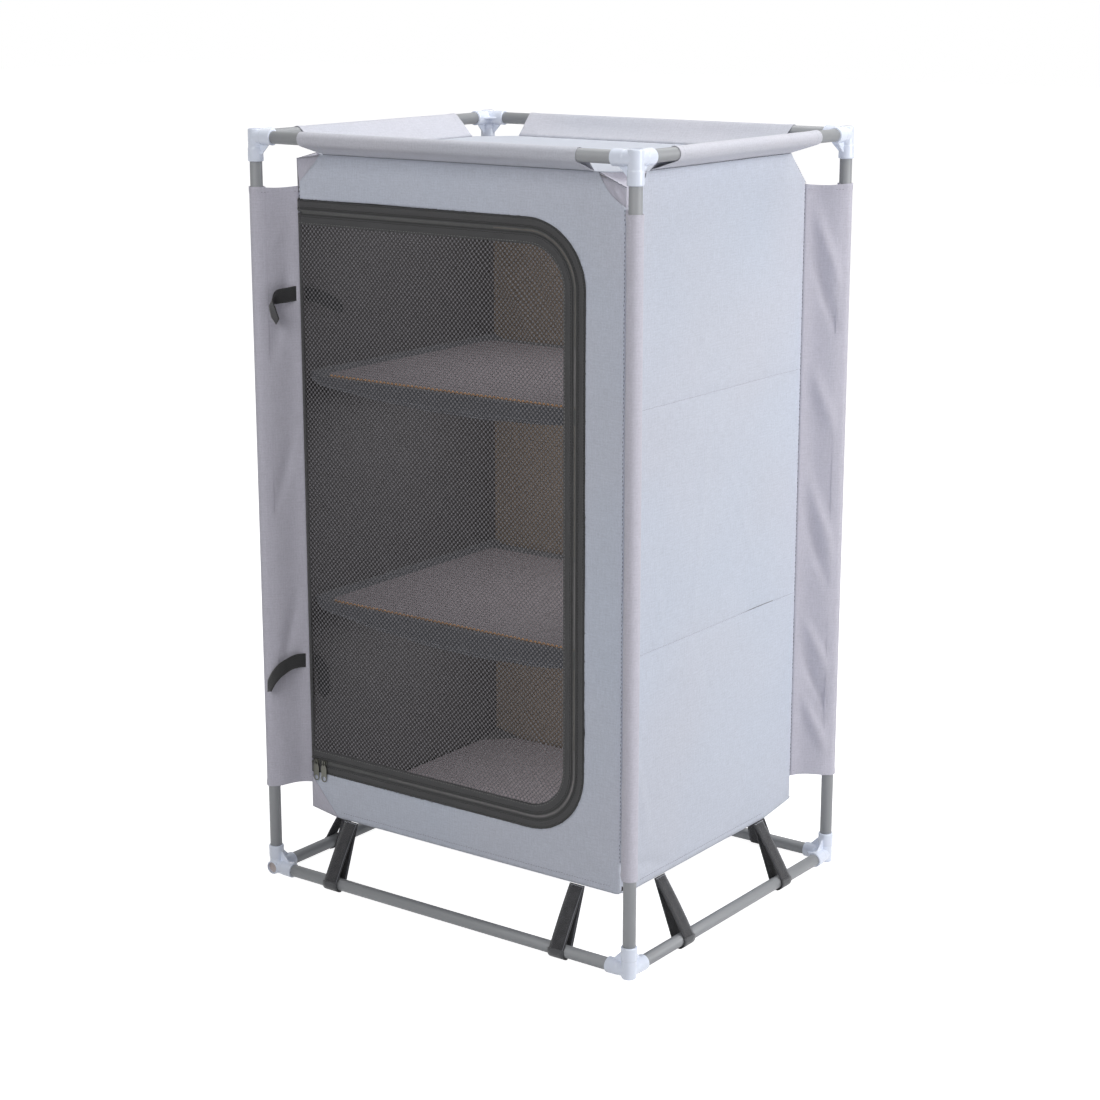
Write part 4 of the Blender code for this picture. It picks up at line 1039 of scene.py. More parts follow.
# Start, end, width and height of the folds on each wing, measured out from the seam and up
WING_FOLDS = {
    "front_left": [
        ((0.012, 0.89), (0.045, 0.84), 0.006, 0.0014), ((0.010, 0.84), (0.044, 0.70), 0.008, -0.0036),
        ((0.010, 0.62), (0.046, 0.50), 0.008, -0.0030), ((0.012, 0.40), (0.046, 0.27), 0.008, -0.0034),
        ((0.020, 0.15), (0.050, 0.20), 0.008, 0.0012),
    ],
    "rear_right": [
        ((0.006, 0.91), (0.052, 0.79), 0.008, 0.0050), ((0.006, 0.85), (0.050, 0.73), 0.006, -0.0040),
        ((0.008, 0.70), (0.050, 0.60), 0.009, 0.0040), ((0.006, 0.56), (0.052, 0.43), 0.008, 0.0048),
        ((0.006, 0.50), (0.048, 0.39), 0.006, -0.0034), ((0.006, 0.36), (0.050, 0.27), 0.007, 0.0044),
        ((0.006, 0.31), (0.050, 0.22), 0.006, -0.0040), ((0.008, 0.25), (0.050, 0.16), 0.007, 0.0044),
    ],
    "front_right": [
        ((0.006, 0.88), (0.045, 0.80), 0.010, 0.0018), ((0.006, 0.30), (0.045, 0.22), 0.010, 0.0018),
    ],
    "rear_left": [
        ((0.008, 0.86), (0.050, 0.74), 0.008, 0.0038), ((0.006, 0.60), (0.050, 0.50), 0.008, -0.0032),
        ((0.006, 0.40), (0.050, 0.30), 0.008, 0.0038),
    ],
}
for corner, (sx, sy) in CORNERS.items():
    section, front = wing_section(sx, sy)
    gone = run_along(section)
    flat_run = gone[WING_STEPS]
    a, b = np.meshgrid(gone, hemmed(WING_LOW, WING_HIGH, WING_STEP))
    in_sheet = smooth_step(a, 0.004, 0.028) * smooth_step(flat_run - a, -0.001, 0.010)
    push = ripples(a * 2.0, b, 20 + sx + 2 * sy, 0.35, WING_RIPPLE) * in_sheet
    for start, end, width, depth in WING_FOLDS[corner]:
        push = push + crease(a, b, start, end, width, depth) * in_sheet
    from_end = np.minimum(b - WING_LOW, WING_HIGH - b)
    push = push + hem_relief(from_end, WING_HEM, 0.0005, 0.0004)
    round_out = unit(section - np.array([sx * AXIS_X, sy * AXIS_Y]))
    way = np.where((gone <= flat_run)[:, None], np.array(front), round_out)
    dip = WING_DIP * np.sin(np.pi * np.clip(a / flat_run, 0, 1)) * smooth_step(from_end, 0.05, 0.0)
    height = b + np.where(b > (WING_LOW + WING_HIGH) / 2, -dip, dip)
    spots = np.concatenate([section + way * push[..., None], height[..., None]], -1)
    name = "wing_cloth_" + corner
    mesh = skin(name, spots, np.stack([a, b], -1))
    wing = put_on(name, mesh, "cupboard", [wing_cloth], ["wing_" + corner])
    thicken(wing, CLOTH_THICKNESS, offset=0.0)
    facing = (*front, 0)
    lifted = section + np.array(front) * STITCH_PROUD
    rows = [([(*spot, height) for spot in lifted[1:WING_STEPS + 1]], facing)
            for height in (WING_LOW + WING_HEM, WING_HIGH - WING_HEM)]
    sewn_line("wing_stitches_" + corner, rows, wing_thread, waves=0.0002)
    lap_row = straight((*lifted[LAP_STEP], WING_LOW + 0.002), (*lifted[LAP_STEP], WING_HIGH - 0.002), 60)
    sewn_line("sleeve_stitches_" + corner, [(lap_row, facing)], wing_cloth, waves=0.0002)
    # The seam that joins both walls and the wing shows as a row of dark stitches on either wall
    rows = []
    for out_x, out_y in ((sx, 0), (0, sy)):
        x = sx * (BODY_X - (SEAM_INSET if out_x else SEAM_ROW)) + out_x * SEAM_PROUD
        y = sy * (BODY_Y - (SEAM_INSET if out_y else SEAM_ROW)) + out_y * SEAM_PROUD
        rows.append((straight((x, y, WING_LOW), (x, y, WING_HIGH), 60), (out_x, out_y, 0)))
    sewn_line("corner_seam_" + corner, rows, seam_thread, pitch=0.0052, length=0.0028, radius=0.00036,
              waves=0.0004)
# The walls' lower edges are hemmed to the floor with one more row, short of the cut corners
for side, (left, right, own) in WALL_CORNERS.items():
    half = WALLS[side][2]
    start = -half + CORNER_CUTS["bottom", left][own][0] + WALL_HEM
    end = half - CORNER_CUTS["bottom", right][own][0] - WALL_HEM
    level_row = straight((start, BODY_LOW + WALL_HEM), (end, BODY_LOW + WALL_HEM), 120)
    rows = [on_skin(wall_place(side), level_row, 0.0002)]
    sewn_line("hem_stitches_" + side, rows, wing_thread, waves=0.0002)
# Dark overlock stitches close the upper edge of both ears
for corner, (inset, height) in EARS.items():
    sx, sy = CORNERS[corner]
    tip = (sx * (BODY_X - inset), sy * (BODY_Y - inset + 0.0003), height)
    root = (sx * (BODY_X - CORNER_CUT), sy * (BODY_Y + 0.0003), BODY_HIGH - 0.0006)
    sewn_line("ear_seam_" + corner, [(straight(root, tip), (0, sy, 0.6))], seam_thread, pitch=0.0031,
              length=0.0030, radius=0.00045, waves=0.0002)


# Tray
# The top is an open tray: a double floor of the oxford sewn to the walls' top edges,
# and four sides that run up, over the top rails and back down to the same seam.

TRAY_SAG = 0.0022
TRAY_STEP = 0.006
TRAY_SLACK = 0.12
TRAY_RIPPLE = 0.0010
TRAY_PUCKER = 0.019
PUCKER_DEPTH = 0.0005
APRON_STEP = 0.0045
APRON_HEM = 0.008
APRON_RIPPLE = 0.0011
APRON_HOLLOW = 0.0016
APRON_ABOVE = 0.0004
APRON_BACK = 0.004
APRON_BACK_FROM = 0.06
SEAM_ROW_END = 0.004
SLEEVE_GAP = 0.0004
APRON_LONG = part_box("apron_front")[1].x
APRON_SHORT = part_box("apron_right")[1].y


def tray_place(a, b):
    inset = np.minimum(BODY_X - np.abs(a), BODY_Y - np.abs(b))
    slack = smooth_step(inset, 0.0, TRAY_SLACK)
    lift = ripples(a, b, 31, 0.30, TRAY_RIPPLE) * slack - TRAY_SAG * slack
    return np.stack([a, b, BODY_HIGH + lift], -1)


apron_cloth = cloth_material("apron_cloth", photo_colour(210, 209, 218), 0.58, 0.07,
                             two_tone=photo_colour(206, 208, 218))
tray_cloth = cloth_material("tray_cloth", photo_colour(204, 209, 221), 0.50, 0.07)
tray_mesh = cut_cloth("tray_floor_cloth", (-BODY_X, -BODY_Y), (BODY_X, BODY_Y), TRAY_STEP,
                      octagon_outside(BODY_X, BODY_Y, CORNER_CUT), tray_place)
tray_floor = put_on("tray_floor_cloth", tray_mesh, "cupboard",
                    [tray_cloth, inner_coating], ["tray_floor"])
thicken(tray_floor, 2 * CLOTH_THICKNESS, inner_side=True)


def round_bar(tip, radius, straight_steps, turn_steps, way):
    """A line from a tip to a bar at the origin, round it and back to the tip, seen along the bar."""
    tip = Vector(tip)
    lean = math.acos(radius / tip.length)
    heading = math.atan2(tip.y, tip.x)
    turn = math.tau - 2 * lean

    def touch(angle):
        return Vector((math.cos(heading + way * angle), math.sin(heading + way * angle))) * radius

    start, end = touch(lean), touch(-lean)
    points = [tip + (start - tip) * (i / straight_steps) for i in range(straight_steps + 1)]
    points += [touch(lean + turn * i / turn_steps) for i in range(1, turn_steps)]
    points += [end + (tip - end) * (i / straight_steps) for i in range(straight_steps + 1)]
    return np.array(points)


UP = np.array([0, 0, 1.0])
for order, side in enumerate(SIDE_WAYS):
    along, out = SIDE_WAYS[side]
    distance, edge, run = (AXIS_Y, BODY_Y, APRON_LONG) if out.y else (AXIS_X, BODY_X, APRON_SHORT)
    reach = distance - edge
    origin = np.array(out * distance) + UP * AXIS_HIGH
    along, inward = np.array(along), -np.array(out)
    section = round_bar((reach, BODY_HIGH + APRON_ABOVE - AXIS_HIGH), TUBE_RADIUS + SLEEVE_GAP, 8, 28, -1)
    gone = run_along(section)
    total = gone[-1]
    columns = hemmed(-run, run, APRON_STEP)
    a, b = np.meshgrid(columns, gone)
    # The end edges are cut back from the rail to the seam, as the picture shows
    near_seam = np.minimum(b, total - b) / reach
    end_share = smooth_step(np.abs(a), run - APRON_BACK_FROM, run)
    shortened = a - np.sign(a) * APRON_BACK * end_share * smooth_step(near_seam, 1.2, 0.0)
    from_end = run - np.abs(a)
    from_seam = 0.5 - np.abs(b / total - 0.5)
    slack = smooth_step(from_seam, 0.0, 0.12) - smooth_step(from_seam, 0.22, 0.34)
    waves = ripples(a, b, 40 + order, 0.22, APRON_RIPPLE) - APRON_HOLLOW
    push = waves * slack * smooth_step(from_end, 0.0, 0.05)
    push = push + hem_relief(from_end, APRON_HEM, 0.00045, 0.00035) * smooth_step(near_seam, 0.0, 0.35)
    pucker = np.sin(a * math.tau / TRAY_PUCKER + 3 * np.sin(a * 31))
    push = push + PUCKER_DEPTH * np.exp(-((near_seam - 0.10) / 0.07) ** 2) * pucker
    section_way = np.gradient(section, axis=0)
    normal = unit(np.stack([section_way[:, 1], -section_way[:, 0]], -1))
    middle = len(section) // 2
    if np.dot(normal[middle], section[middle]) < 0:
        normal = -normal
    flat = section[:, None, :] + normal[:, None, :] * push[..., None]
    spots = origin + shortened[..., None] * along + flat[..., :1] * inward + flat[..., 1:] * UP
    name = "apron_cloth_" + side
    mesh = skin(name, spots, np.stack([a, b], -1))
    apron = put_on(name, mesh, "cupboard", [apron_cloth], ["apron_" + side])
    thicken(apron, CLOTH_THICKNESS, offset=0.0)
    outward = (normal[:, :1] * inward + normal[:, 1:] * UP)[2:-2]
    rows = []
    for end in (-1, 1):
        column = int(np.argmin(np.abs(columns - end * (run - APRON_HEM))))
        rows.append((spots[2:-2, column] + outward * 0.0004, outward))
    sewn_line("apron_stitches_" + side, rows, pale_thread, waves=0.0001)
    seam = origin + inward * (reach - 0.0012) - UP * (AXIS_HIGH - BODY_HIGH)
    line = seam + np.linspace(-run + SEAM_ROW_END, run - SEAM_ROW_END, 60)[:, None] * along
    sewn_line("tray_seam_" + side, [(line, -inward * 0.8 + UP * 0.6)], seam_thread, pitch=0.0034,
              radius=0.0004, waves=0.0001)


# Straps
# Eight loops of hook-and-loop tape hold the body down: sewn under the bottom seam,
# soft side out, round the bottom rail, with the smooth hooked end closed over it.

STRAP_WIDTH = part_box("strap_front_left")[1].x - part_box("strap_front_left")[0].x
STRAP_THICKNESS = 0.0014
STRAP_GAP = 0.0010
STRAP_BOW = 0.0012
STRAP_LEAN = 0.0006
STRAP_STEPS = (14, 22)
HOOK_WIDTH = STRAP_WIDTH + 0.0012
HOOK_THICKNESS = 0.0010
HOOK_ABOVE = 0.0014
HOOK_SPAN = slice(15, 29)
TACK_GAP = 0.0022
STRAP_TIP = (AXIS_X - BODY_X + 0.0008, BODY_LOW - AXIS_LOW - 0.0012)


def tape_material(name, colour, edge_colour, edge, ribs, fuzz, roughness=0.85):
    """Narrow woven tape with cross ribs and fuzz. edge is the place and the reach of its selvage line."""
    material, tree, shader = new_material(name)
    cut = flat_cut(tree)
    parts = parts_of(tree, cut)
    rib = ranged(tree, maths(tree, "SINE", maths(tree, "MULTIPLY", parts[1], math.tau / ribs)), -1.0, 1.0)
    fibre = noise(tree, stretched(tree, cut, 900.0, 900.0), 1.0, 4.0)
    cloud = noise(tree, cut, 60.0, 3.0)
    hair = maths(tree, "MULTIPLY", maths(tree, "SUBTRACT", fibre, 0.5), fuzz)
    wear = maths(tree, "MULTIPLY", maths(tree, "SUBTRACT", cloud, 0.5), fuzz * 0.7)
    shade = maths(tree, "ADD", maths(tree, "ADD", hair, wear), maths(tree, "MULTIPLY", rib, 0.12))
    body = scaled(tree, colour[:3], maths(tree, "ADD", 1.0, shade))
    from_edge = maths(tree, "ABSOLUTE", maths(tree, "SUBTRACT", parts[0], edge[0]))
    woven = mixed(tree, ranged(tree, from_edge, edge[1], 0.0), body, edge_colour)
    fill(tree, shader, {"Base Color": woven, "Roughness": roughness, "Sheen Weight": 0.35})
    fuzzy = maths(tree, "MULTIPLY", fibre, fuzz * 2.0)
    bumped(tree, shader, maths(tree, "ADD", maths(tree, "MULTIPLY", rib, 0.4), fuzzy), 0.0003)
    return material


soft_tape = tape_material("soft_tape", photo_colour(64, 64, 67), photo_colour(146, 148, 156),
                          (0.0206, 0.0007), 0.0016, 2.2, 0.95)
hook_tape = tape_material("hook_tape", photo_colour(66, 67, 70), photo_colour(50, 50, 54),
                          (0.0, 0.0006), 0.0016, 0.35, 0.6)


def ribbon(section, origin, inward, along, width, lean=0.0):
    """A tape of this width through a line in the plane of inward and up, which may lean along."""
    across = np.linspace(-width / 2, width / 2, 5)
    aside = lean * np.sin(math.pi * np.linspace(0, 1, len(section)))
    line = origin + section[:, :1] * inward + section[:, 1:] * UP
    return line[:, None] + (across[None, :, None] + aside[:, None, None]) * along


for node in sorted(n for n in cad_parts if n.startswith("strap_")):
    along, out = (np.array(way) for way in SIDE_WAYS[node.split("_")[1]])
    low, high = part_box(node)
    middle = (low + high) / 2
    # On the rail's axis: one of X and Y is the rail's own, and the other is the strap's
    origin = np.array([out[0] * AXIS_X or middle.x, out[1] * AXIS_Y or middle.y, AXIS_LOW])
    radius = TUBE_RADIUS + STRAP_GAP
    section = round_bar(STRAP_TIP, radius, *STRAP_STEPS, 1)
    section[:, 0] -= STRAP_BOW * np.sin(math.pi * np.clip(np.arange(len(section)) / STRAP_STEPS[0], 0, 1))
    mesh = skin(node + "_tape", ribbon(section, origin, -out, along, STRAP_WIDTH, STRAP_LEAN))
    strap = put_on(node + "_tape", mesh, "cupboard", [soft_tape], [node])
    thicken(strap, STRAP_THICKNESS, offset=0.0)
    section = round_bar(STRAP_TIP, radius + HOOK_ABOVE, *STRAP_STEPS, 1)[HOOK_SPAN]
    mesh = skin(node + "_hook", ribbon(section, origin, -out, along, HOOK_WIDTH))
    hook = put_on(node + "_hook", mesh, "cupboard", [hook_tape])
    thicken(hook, HOOK_THICKNESS, offset=0.0)
    half = along * STRAP_WIDTH / 2
    rows = []
    for lift in (0.0, TACK_GAP):
        spot = origin - out * (STRAP_TIP[0] - 0.0022) + UP * (STRAP_TIP[1] - 0.003 + lift)
        rows.append((straight(spot - half, spot + half), out))
    sewn_line(node + "_tack", rows, pale_thread, pitch=0.0028, radius=0.00035,
              waves=0.0003)


# Shelves
# Thin hardboard with a lilac grey printed face and raw brown edges. Each of the upper
# two lies in a sling of the inner cloth, sewn to three walls, with a hanging front band.

BOARD_EDGE = 0.0003
BOARD_CORNER = 0.012
BOARD_ABOVE = 0.0004
BAND_HEM = 0.006
BAND_END = 0.008
BAND_BELLY = {"upper": 0.018, "lower": 0.024}
BAND_HOLLOW = 0.0012
BAND_WAVE = 0.0016
BAND_WAVE_LENGTH = 0.085
BAND_TURN = 0.03
SLING_FLANK = 0.018
SLING_RIPPLE = 0.0004
SLING_ROW = 0.004
SHELF_STEP = 0.005


def plate_mesh(name, outlines, thickness, edge):
    """A flat plate in its own XY plane with softly rounded edges, from its outline and holes."""
    curve = bpy.data.curves.new(name, "CURVE")
    curve.dimensions = "2D"
    curve.fill_mode = "BOTH"
    curve.extrude = thickness / 2 - edge
    curve.bevel_depth = edge
    curve.bevel_resolution = 2
    curve.offset = -edge
    for points in outlines:
        spline = curve.splines.new("POLY")
        spline.points.add(len(points) - 1)
        for point, (x, y) in zip(spline.points, points):
            point.co = (x, y, 0, 1)
        spline.use_cyclic_u = True
    mesh = finished(name, placed(name, curve))
    lay_flat(mesh, np.array([v.co for v in mesh.vertices])[:, :2])
    mesh.shade_smooth()
    mesh.set_sharp_from_angle(angle=math.radians(40))
    return mesh


def arc_points(centre, radius, start, end, count):
    angles = np.radians(np.linspace(start, end, count))
    return [(centre[0] + radius * math.cos(t), centre[1] + radius * math.sin(t)) for t in angles]


def board_outline(low, high, radius):
    points = []
    for x, y, start in ((high.x, high.y, 0), (low.x, high.y, 90), (low.x, low.y, 180), (high.x, low.y, 270)):
        centre = (x - math.copysign(radius, x), y - math.copysign(radius, y))
        points += arc_points(centre, radius, start, start + 90, 8)
    return points


def board_material():
    """The printed face shows on top, and the raw brown board on the edges and below."""
    material, tree, shader = new_material("shelf_board")
    place = object_place(tree)
    up = parts_of(tree, object_place(tree, "Normal"))[2]
    grain = noise(tree, stretched(tree, place, 500.0, 90.0, 500.0), 1.0, 3.0)
    fleck = noise(tree, place, 800.0, 2.0)

    def streaked(pattern, dark, light):
        return mixed(tree, ranged(tree, pattern, 0.3, 0.7), photo_colour(*dark), photo_colour(*light))

    face = streaked(grain, (154, 145, 150), (172, 163, 169))
    raw = streaked(fleck, (214, 160, 114), (238, 190, 142))
    fill(tree, shader, {"Base Color": mixed(tree, ranged(tree, up, 0.6, 0.9), raw, face), "Roughness": 0.55})
    bumped(tree, shader, maths(tree, "ADD", grain, fleck), 0.00006)
    return material


def octagon_outline(low, high, cut):
    return [(high.x, low.y + cut), (high.x, high.y - cut), (high.x - cut, high.y), (low.x + cut, high.y),
            (low.x, high.y - cut), (low.x, low.y + cut), (low.x + cut, low.y), (high.x - cut, low.y)]


shelf_board = board_material()
BOARDS = {"upper_shelf_board": (board_outline, BOARD_CORNER),
          "lower_shelf_board": (board_outline, BOARD_CORNER),
          "bottom_board": (octagon_outline, CORNER_CUT)}
for node, (outline, size) in BOARDS.items():
    low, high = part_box(node)
    mesh = plate_mesh(node + "_panel", [outline(low, high, size)], high.z - low.z, BOARD_EDGE)
    mesh.transform(Matrix.Translation((0, 0, (low.z + high.z) / 2)))
    put_on(node + "_panel", mesh, "cupboard", [shelf_board], [node])

shelf_cloth = cloth_material("shelf_cloth", photo_colour(102, 103, 109), 0.45, thread=0.0007)


def add_sling(level):
    """The cloth that one shelf lies in, with its seams."""
    low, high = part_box(level + "_shelf_cloth")
    wall, seam, depth = high.x, high.z, high.y - low.y
    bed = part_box(level + "_shelf_board")[0].z - BOARD_ABOVE
    belly = BAND_BELLY[level]
    reach = BAND_END + belly

    def sling_place(a, b):
        """b runs forward from the back wall, then down the hanging band."""
        rise = smooth_step(np.abs(a), wall - SLING_FLANK, wall)
        hang = np.maximum(0, b - depth)
        fall = BAND_END + belly * (1 - (a / wall) ** 2)
        y = high.y - np.minimum(b, depth) - BAND_HOLLOW * np.sin(np.pi * np.clip(hang / BAND_TURN, 0, 1))
        wave = np.sin(a * math.tau / BAND_WAVE_LENGTH + seam * 40)
        y = y + BAND_WAVE * wave * smooth_step(hang, 0.004, BAND_TURN)
        z = bed + (seam - bed) * rise - hang * fall / reach
        return np.stack([a, y, z + ripples(a, b, 7, 0.2, SLING_RIPPLE)], -1)

    def sling_outside(a, b):
        return np.maximum(np.abs(a) - wall, b - depth - reach + 1e-6)

    mesh = cut_cloth(level + "_shelf_sling", (-wall, 0), (wall, depth + reach), SHELF_STEP,
                     sling_outside, sling_place)
    sling = put_on(level + "_shelf_sling", mesh, "cupboard", [shelf_cloth],
                   [level + "_shelf_cloth"])
    thicken(sling, CLOTH_THICKNESS, offset=0.0)
    # The sling is sewn through three walls, so its seam shows outside as a fine row of stitches
    rows = []
    for side in ("right", "back", "left"):
        edge = WALLS[side][2] - 0.006
        rows.append(on_skin(wall_place(side), straight((-edge, seam), (edge, seam), 120), 0.0002))
    sewn_line(level + "_shelf_seam", rows, wing_thread, pitch=0.0036, length=0.0022, radius=0.00022,
              waves=0.0002)
    across = np.linspace(-wall + SLING_ROW, wall - SLING_ROW, 120)
    rows = []
    for back_off in (BAND_HEM, 0.0015):
        place = sling_place(across, np.full_like(across, depth + reach - back_off))
        rows.append((place + np.array([0, -0.0005, 0]), (0, -1, 0)))
    sewn_line(level + "_shelf_stitches", rows, pale_thread, pitch=0.0045, waves=0.0001)


for level in ("upper", "lower"):
    add_sling(level)


# Door zip
# A nylon coil zip on grey-black woven tape. One half is sewn under the edge of the
# door opening in the front wall, the other round the net.

TAPE_PROUD = 0.0006
TAPE_RIDGE = 0.0005
COIL_PITCH = 0.0017
COIL_BAR = 0.00046
COIL_REACH = 0.0013
COIL_OFFSET = 0.72 * COIL_REACH
ZIP_LINE = 0.0161
ZIP_TAPE_THICKNESS = 0.0008
FRONTWARD = (0, -1, 0)
net_low, net_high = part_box("door_net")
DOOR_PLANE = -(net_low.y + net_high.y) / 2
HINGE_GAP = net_low.x - DOOR_LEFT
NET_INSET = DOOR_RIGHT - net_high.x
# Place across the tape, half width and shade of its darker bands. The band at the body tape's outer edge is a
# painted shadow of the cloth's edge; the others are woven tighter.
ZIP_BANDS_AND_EDGE_SHADOW = ((0.0001, 0.0007, 0.25), (0.0123, 0.0009, 0.35), (0.0172, 0.0006, 0.40), (0.0193, 0.0010, 0.35),
             (0.0322, 0.0006, 0.5))


def door_line(inset, shift=0.0, steps=(60, 28, 90)):
    """The door's rounded edge this far in from the opening, from top left to bottom left."""
    radius = DOOR_CORNER - inset
    centre_x = DOOR_RIGHT - DOOR_CORNER
    top, low = DOOR_HIGH - inset, DOOR_LOW + inset
    left = DOOR_LEFT + shift
    straight_count, arc_count, side_count = steps
    upper = (centre_x, DOOR_HIGH - DOOR_CORNER)
    lower = (centre_x, DOOR_LOW + DOOR_CORNER)
    points = [(x, top) for x in np.linspace(left, centre_x, straight_count)[:-1]]
    points += arc_points(upper, radius, 90, 0, arc_count)
    points += [(DOOR_RIGHT - inset, z) for z in np.linspace(upper[1], lower[1], side_count)[1:-1]]
    points += arc_points(lower, radius, 0, -90, arc_count)
    points += [(x, low) for x in np.linspace(centre_x, left, straight_count)[1:]]
    return np.array(points)


def on_door(inset, proud, shift=0.0):
    line = door_line(inset, shift)
    return np.stack([line[:, 0], np.full(len(line), -DOOR_PLANE - proud), line[:, 1]], -1)


def banded_tape(name, colour, bands):
    """Woven tape, darker in bands at these places across it."""
    material, tree, shader = new_material(name)
    cut = flat_cut(tree)
    parts = parts_of(tree, cut)
    across = maths(tree, "SINE", maths(tree, "MULTIPLY", parts[0], math.tau / 0.0009))
    along = maths(tree, "SINE", maths(tree, "MULTIPLY", parts[1], math.tau / 0.0010))
    rib = maths(tree, "MULTIPLY", along, across)
    fibre = noise(tree, cut, 900.0, 4.0)
    worn = noise(tree, stretched(tree, cut, 260.0, 18.0), 1.0, 3.0)
    shade = maths(tree, "ADD", ranged(tree, fibre, 0.2, 0.8, 0.80, 1.20), maths(tree, "MULTIPLY", rib, 0.10))
    shade = maths(tree, "MULTIPLY", shade, ranged(tree, worn, 0.3, 0.7, 0.88, 1.12))
    for place, half, dark in bands:
        aside = maths(tree, "ABSOLUTE", maths(tree, "SUBTRACT", parts[0], place))
        shade = maths(tree, "MULTIPLY", shade, ranged(tree, aside, half * 0.7, half * 1.3, dark, 1.0))
    fill(tree, shader, {"Base Color": scaled(tree, colour[:3], shade), "Roughness": 0.8, "Sheen Weight": 0.2})
    bumped(tree, shader, maths(tree, "ADD", maths(tree, "MULTIPLY", rib, 0.5), fibre), 0.0002)
    return material


zip_tape = banded_tape("zip_tape", photo_colour(66, 66, 67), ZIP_BANDS_AND_EDGE_SHADOW)
coil_nylon = marked_material("coil_nylon", photo_colour(112, 113, 112), 0.3, 700.0, (0.3, 0.45), 0.00004)
dark_thread = marked_material("dark_thread", photo_colour(16, 16, 18), 0.3, 1500.0, (0.6, 0.8), 0.00004)
net_thread = marked_material("net_thread", photo_colour(158, 158, 156), 0.3, 1500.0, (0.6, 0.8), 0.00004)

TAPE_PROFILES = {
    "body": [(-0.0022, -0.0006), (-0.0004, -0.0004), (0.0006, TAPE_PROUD), (0.0020, TAPE_PROUD),
             (0.0026, TAPE_PROUD + 0.0002), (0.0032, TAPE_PROUD), (0.0070, TAPE_PROUD - 0.0001),
             (0.0112, TAPE_PROUD), (0.0122, TAPE_PROUD + TAPE_RIDGE), (0.0134, TAPE_PROUD + TAPE_RIDGE),
             (0.0141, TAPE_PROUD - 0.0002), (0.0152, 0.0)],
    "door": [(0.0170, 0.0), (0.0181, TAPE_PROUD - 0.0002), (0.0188, TAPE_PROUD + TAPE_RIDGE),
             (0.0200, TAPE_PROUD + TAPE_RIDGE), (0.0210, TAPE_PROUD), (0.0250, TAPE_PROUD - 0.0001),
             (0.0292, TAPE_PROUD), (0.0300, TAPE_PROUD + 0.0002), (0.0308, TAPE_PROUD), (0.0318, TAPE_PROUD),
             (0.0326, 0.0)],
}
# The line of each profile that the tape's length is measured on
MEASURED_LINE = 5
# Each half's body, gap at the hinge, side of the teeth, and rows of stitches in from the edge
ZIP_HALVES = {"body": ("cupboard", 0.0, -1, (0.0024, 0.0104)), "door": ("door", HINGE_GAP, 1, (0.0218,))}


def face_towards(mesh, way):
    """Turn the faces round if on the whole they look away from this way."""
    if sum((face.normal * face.area for face in mesh.polygons), Vector()).dot(Vector(way)) < 0:
        mesh.flip_normals()
    return mesh


for half, (body, shift, side, stitch_insets) in ZIP_HALVES.items():
    profile = TAPE_PROFILES[half]
    rows = [on_door(inset, proud, shift) for inset, proud in profile]
    length = run_along(rows[MEASURED_LINE])
    cut = np.stack(np.meshgrid([inset for inset, _ in profile], length, indexing="ij"), -1)
    node = "zip_half_" + half
    mesh = face_towards(skin(node + "_tape", rows, cut), FRONTWARD)
    tape = put_on(node + "_tape", mesh, body, [zip_tape], [node])
    thicken(tape, ZIP_TAPE_THICKNESS)
    line = on_door(ZIP_LINE + side * COIL_OFFSET, TAPE_PROUD * 0.5, shift)
    if side > 0:
        line = line[1:-1]
    tooth = spindle(COIL_REACH, COIL_BAR, 0.85, crosswise=True)
    teeth = set_along(node + "_coil", [(line, FRONTWARD)], COIL_PITCH, *tooth)
    put_on(node + "_coil", teeth, body, [coil_nylon])
    rows = [(on_door(inset, TAPE_PROUD + 0.0001, shift), FRONTWARD) for inset in stitch_insets]
    sewn_line(node + "_stitches", rows, dark_thread, body=body, pitch=0.0036,
              radius=0.00045, waves=0.0002)
rows = [(on_door(0.0300, TAPE_PROUD + 0.0003, HINGE_GAP), FRONTWARD)]
sewn_line("net_stitches", rows, net_thread, body="door", pitch=0.0042, length=0.0020,
          radius=0.00026, waves=0.0001)
rows = [(on_door(-0.0014, 0.0008), FRONTWARD)]
sewn_line("door_edge_stitches", rows, pale_thread, pitch=0.0036, waves=0.0001)
# Large black stitches along the door opening's edge, which also stand for the thin shadow that the cloth's
# edge casts on the tape.
rows = [(on_door(0.0004, 0.0005), FRONTWARD)]
sewn_line("tape_edge_stitches_and_shadow", rows, dark_thread, pitch=0.0030, length=0.0022,
          radius=0.0006, waves=0.0003)


# Door net
# Knitted polyester net with small staggered holes. Its edge is sewn under the inner
# zip tape, and its straight side is bound and hinged in the left corner seam.

HOLE_ACROSS = 0.0032
HOLE_UP = 0.00325
HOLE_SHARE = 0.64
HOLE_FLATTER = 0.95
STRAND_CREST = 0.0003
NET_BEHIND = 0.0035
NET_SAG = 0.0012
NET_RIPPLE = 0.0012
NET_SLACK_FROM_EDGE = 0.05
BINDING_WIDTH = 0.0045
BINDING_SPARE = 0.0145
BINDING_THICKNESS = 0.0006
# Start, end, width and height of the net's creases, most of them at its two round corners
NET_CREASES = [
    ((-0.16, 0.80), (0.06, 0.868), 0.014, 0.0030), ((0.01, 0.865), (0.13, 0.79), 0.009, 0.0034),
    ((0.06, 0.872), (0.157, 0.70), 0.008, 0.0040), ((0.10, 0.865), (0.160, 0.77), 0.006, -0.0034),
    ((0.05, 0.240), (0.152, 0.196), 0.006, 0.0044), ((0.02, 0.192), (0.138, 0.181), 0.006, -0.0036),
    ((0.10, 0.30), (0.158, 0.214), 0.006, 0.0040), ((-0.06, 0.215), (0.08, 0.185), 0.008, 0.0028),
    ((0.02, 0.52), (0.150, 0.34), 0.016, 0.0022), ((-0.20, 0.30), (-0.02, 0.21), 0.014, 0.0026),
]


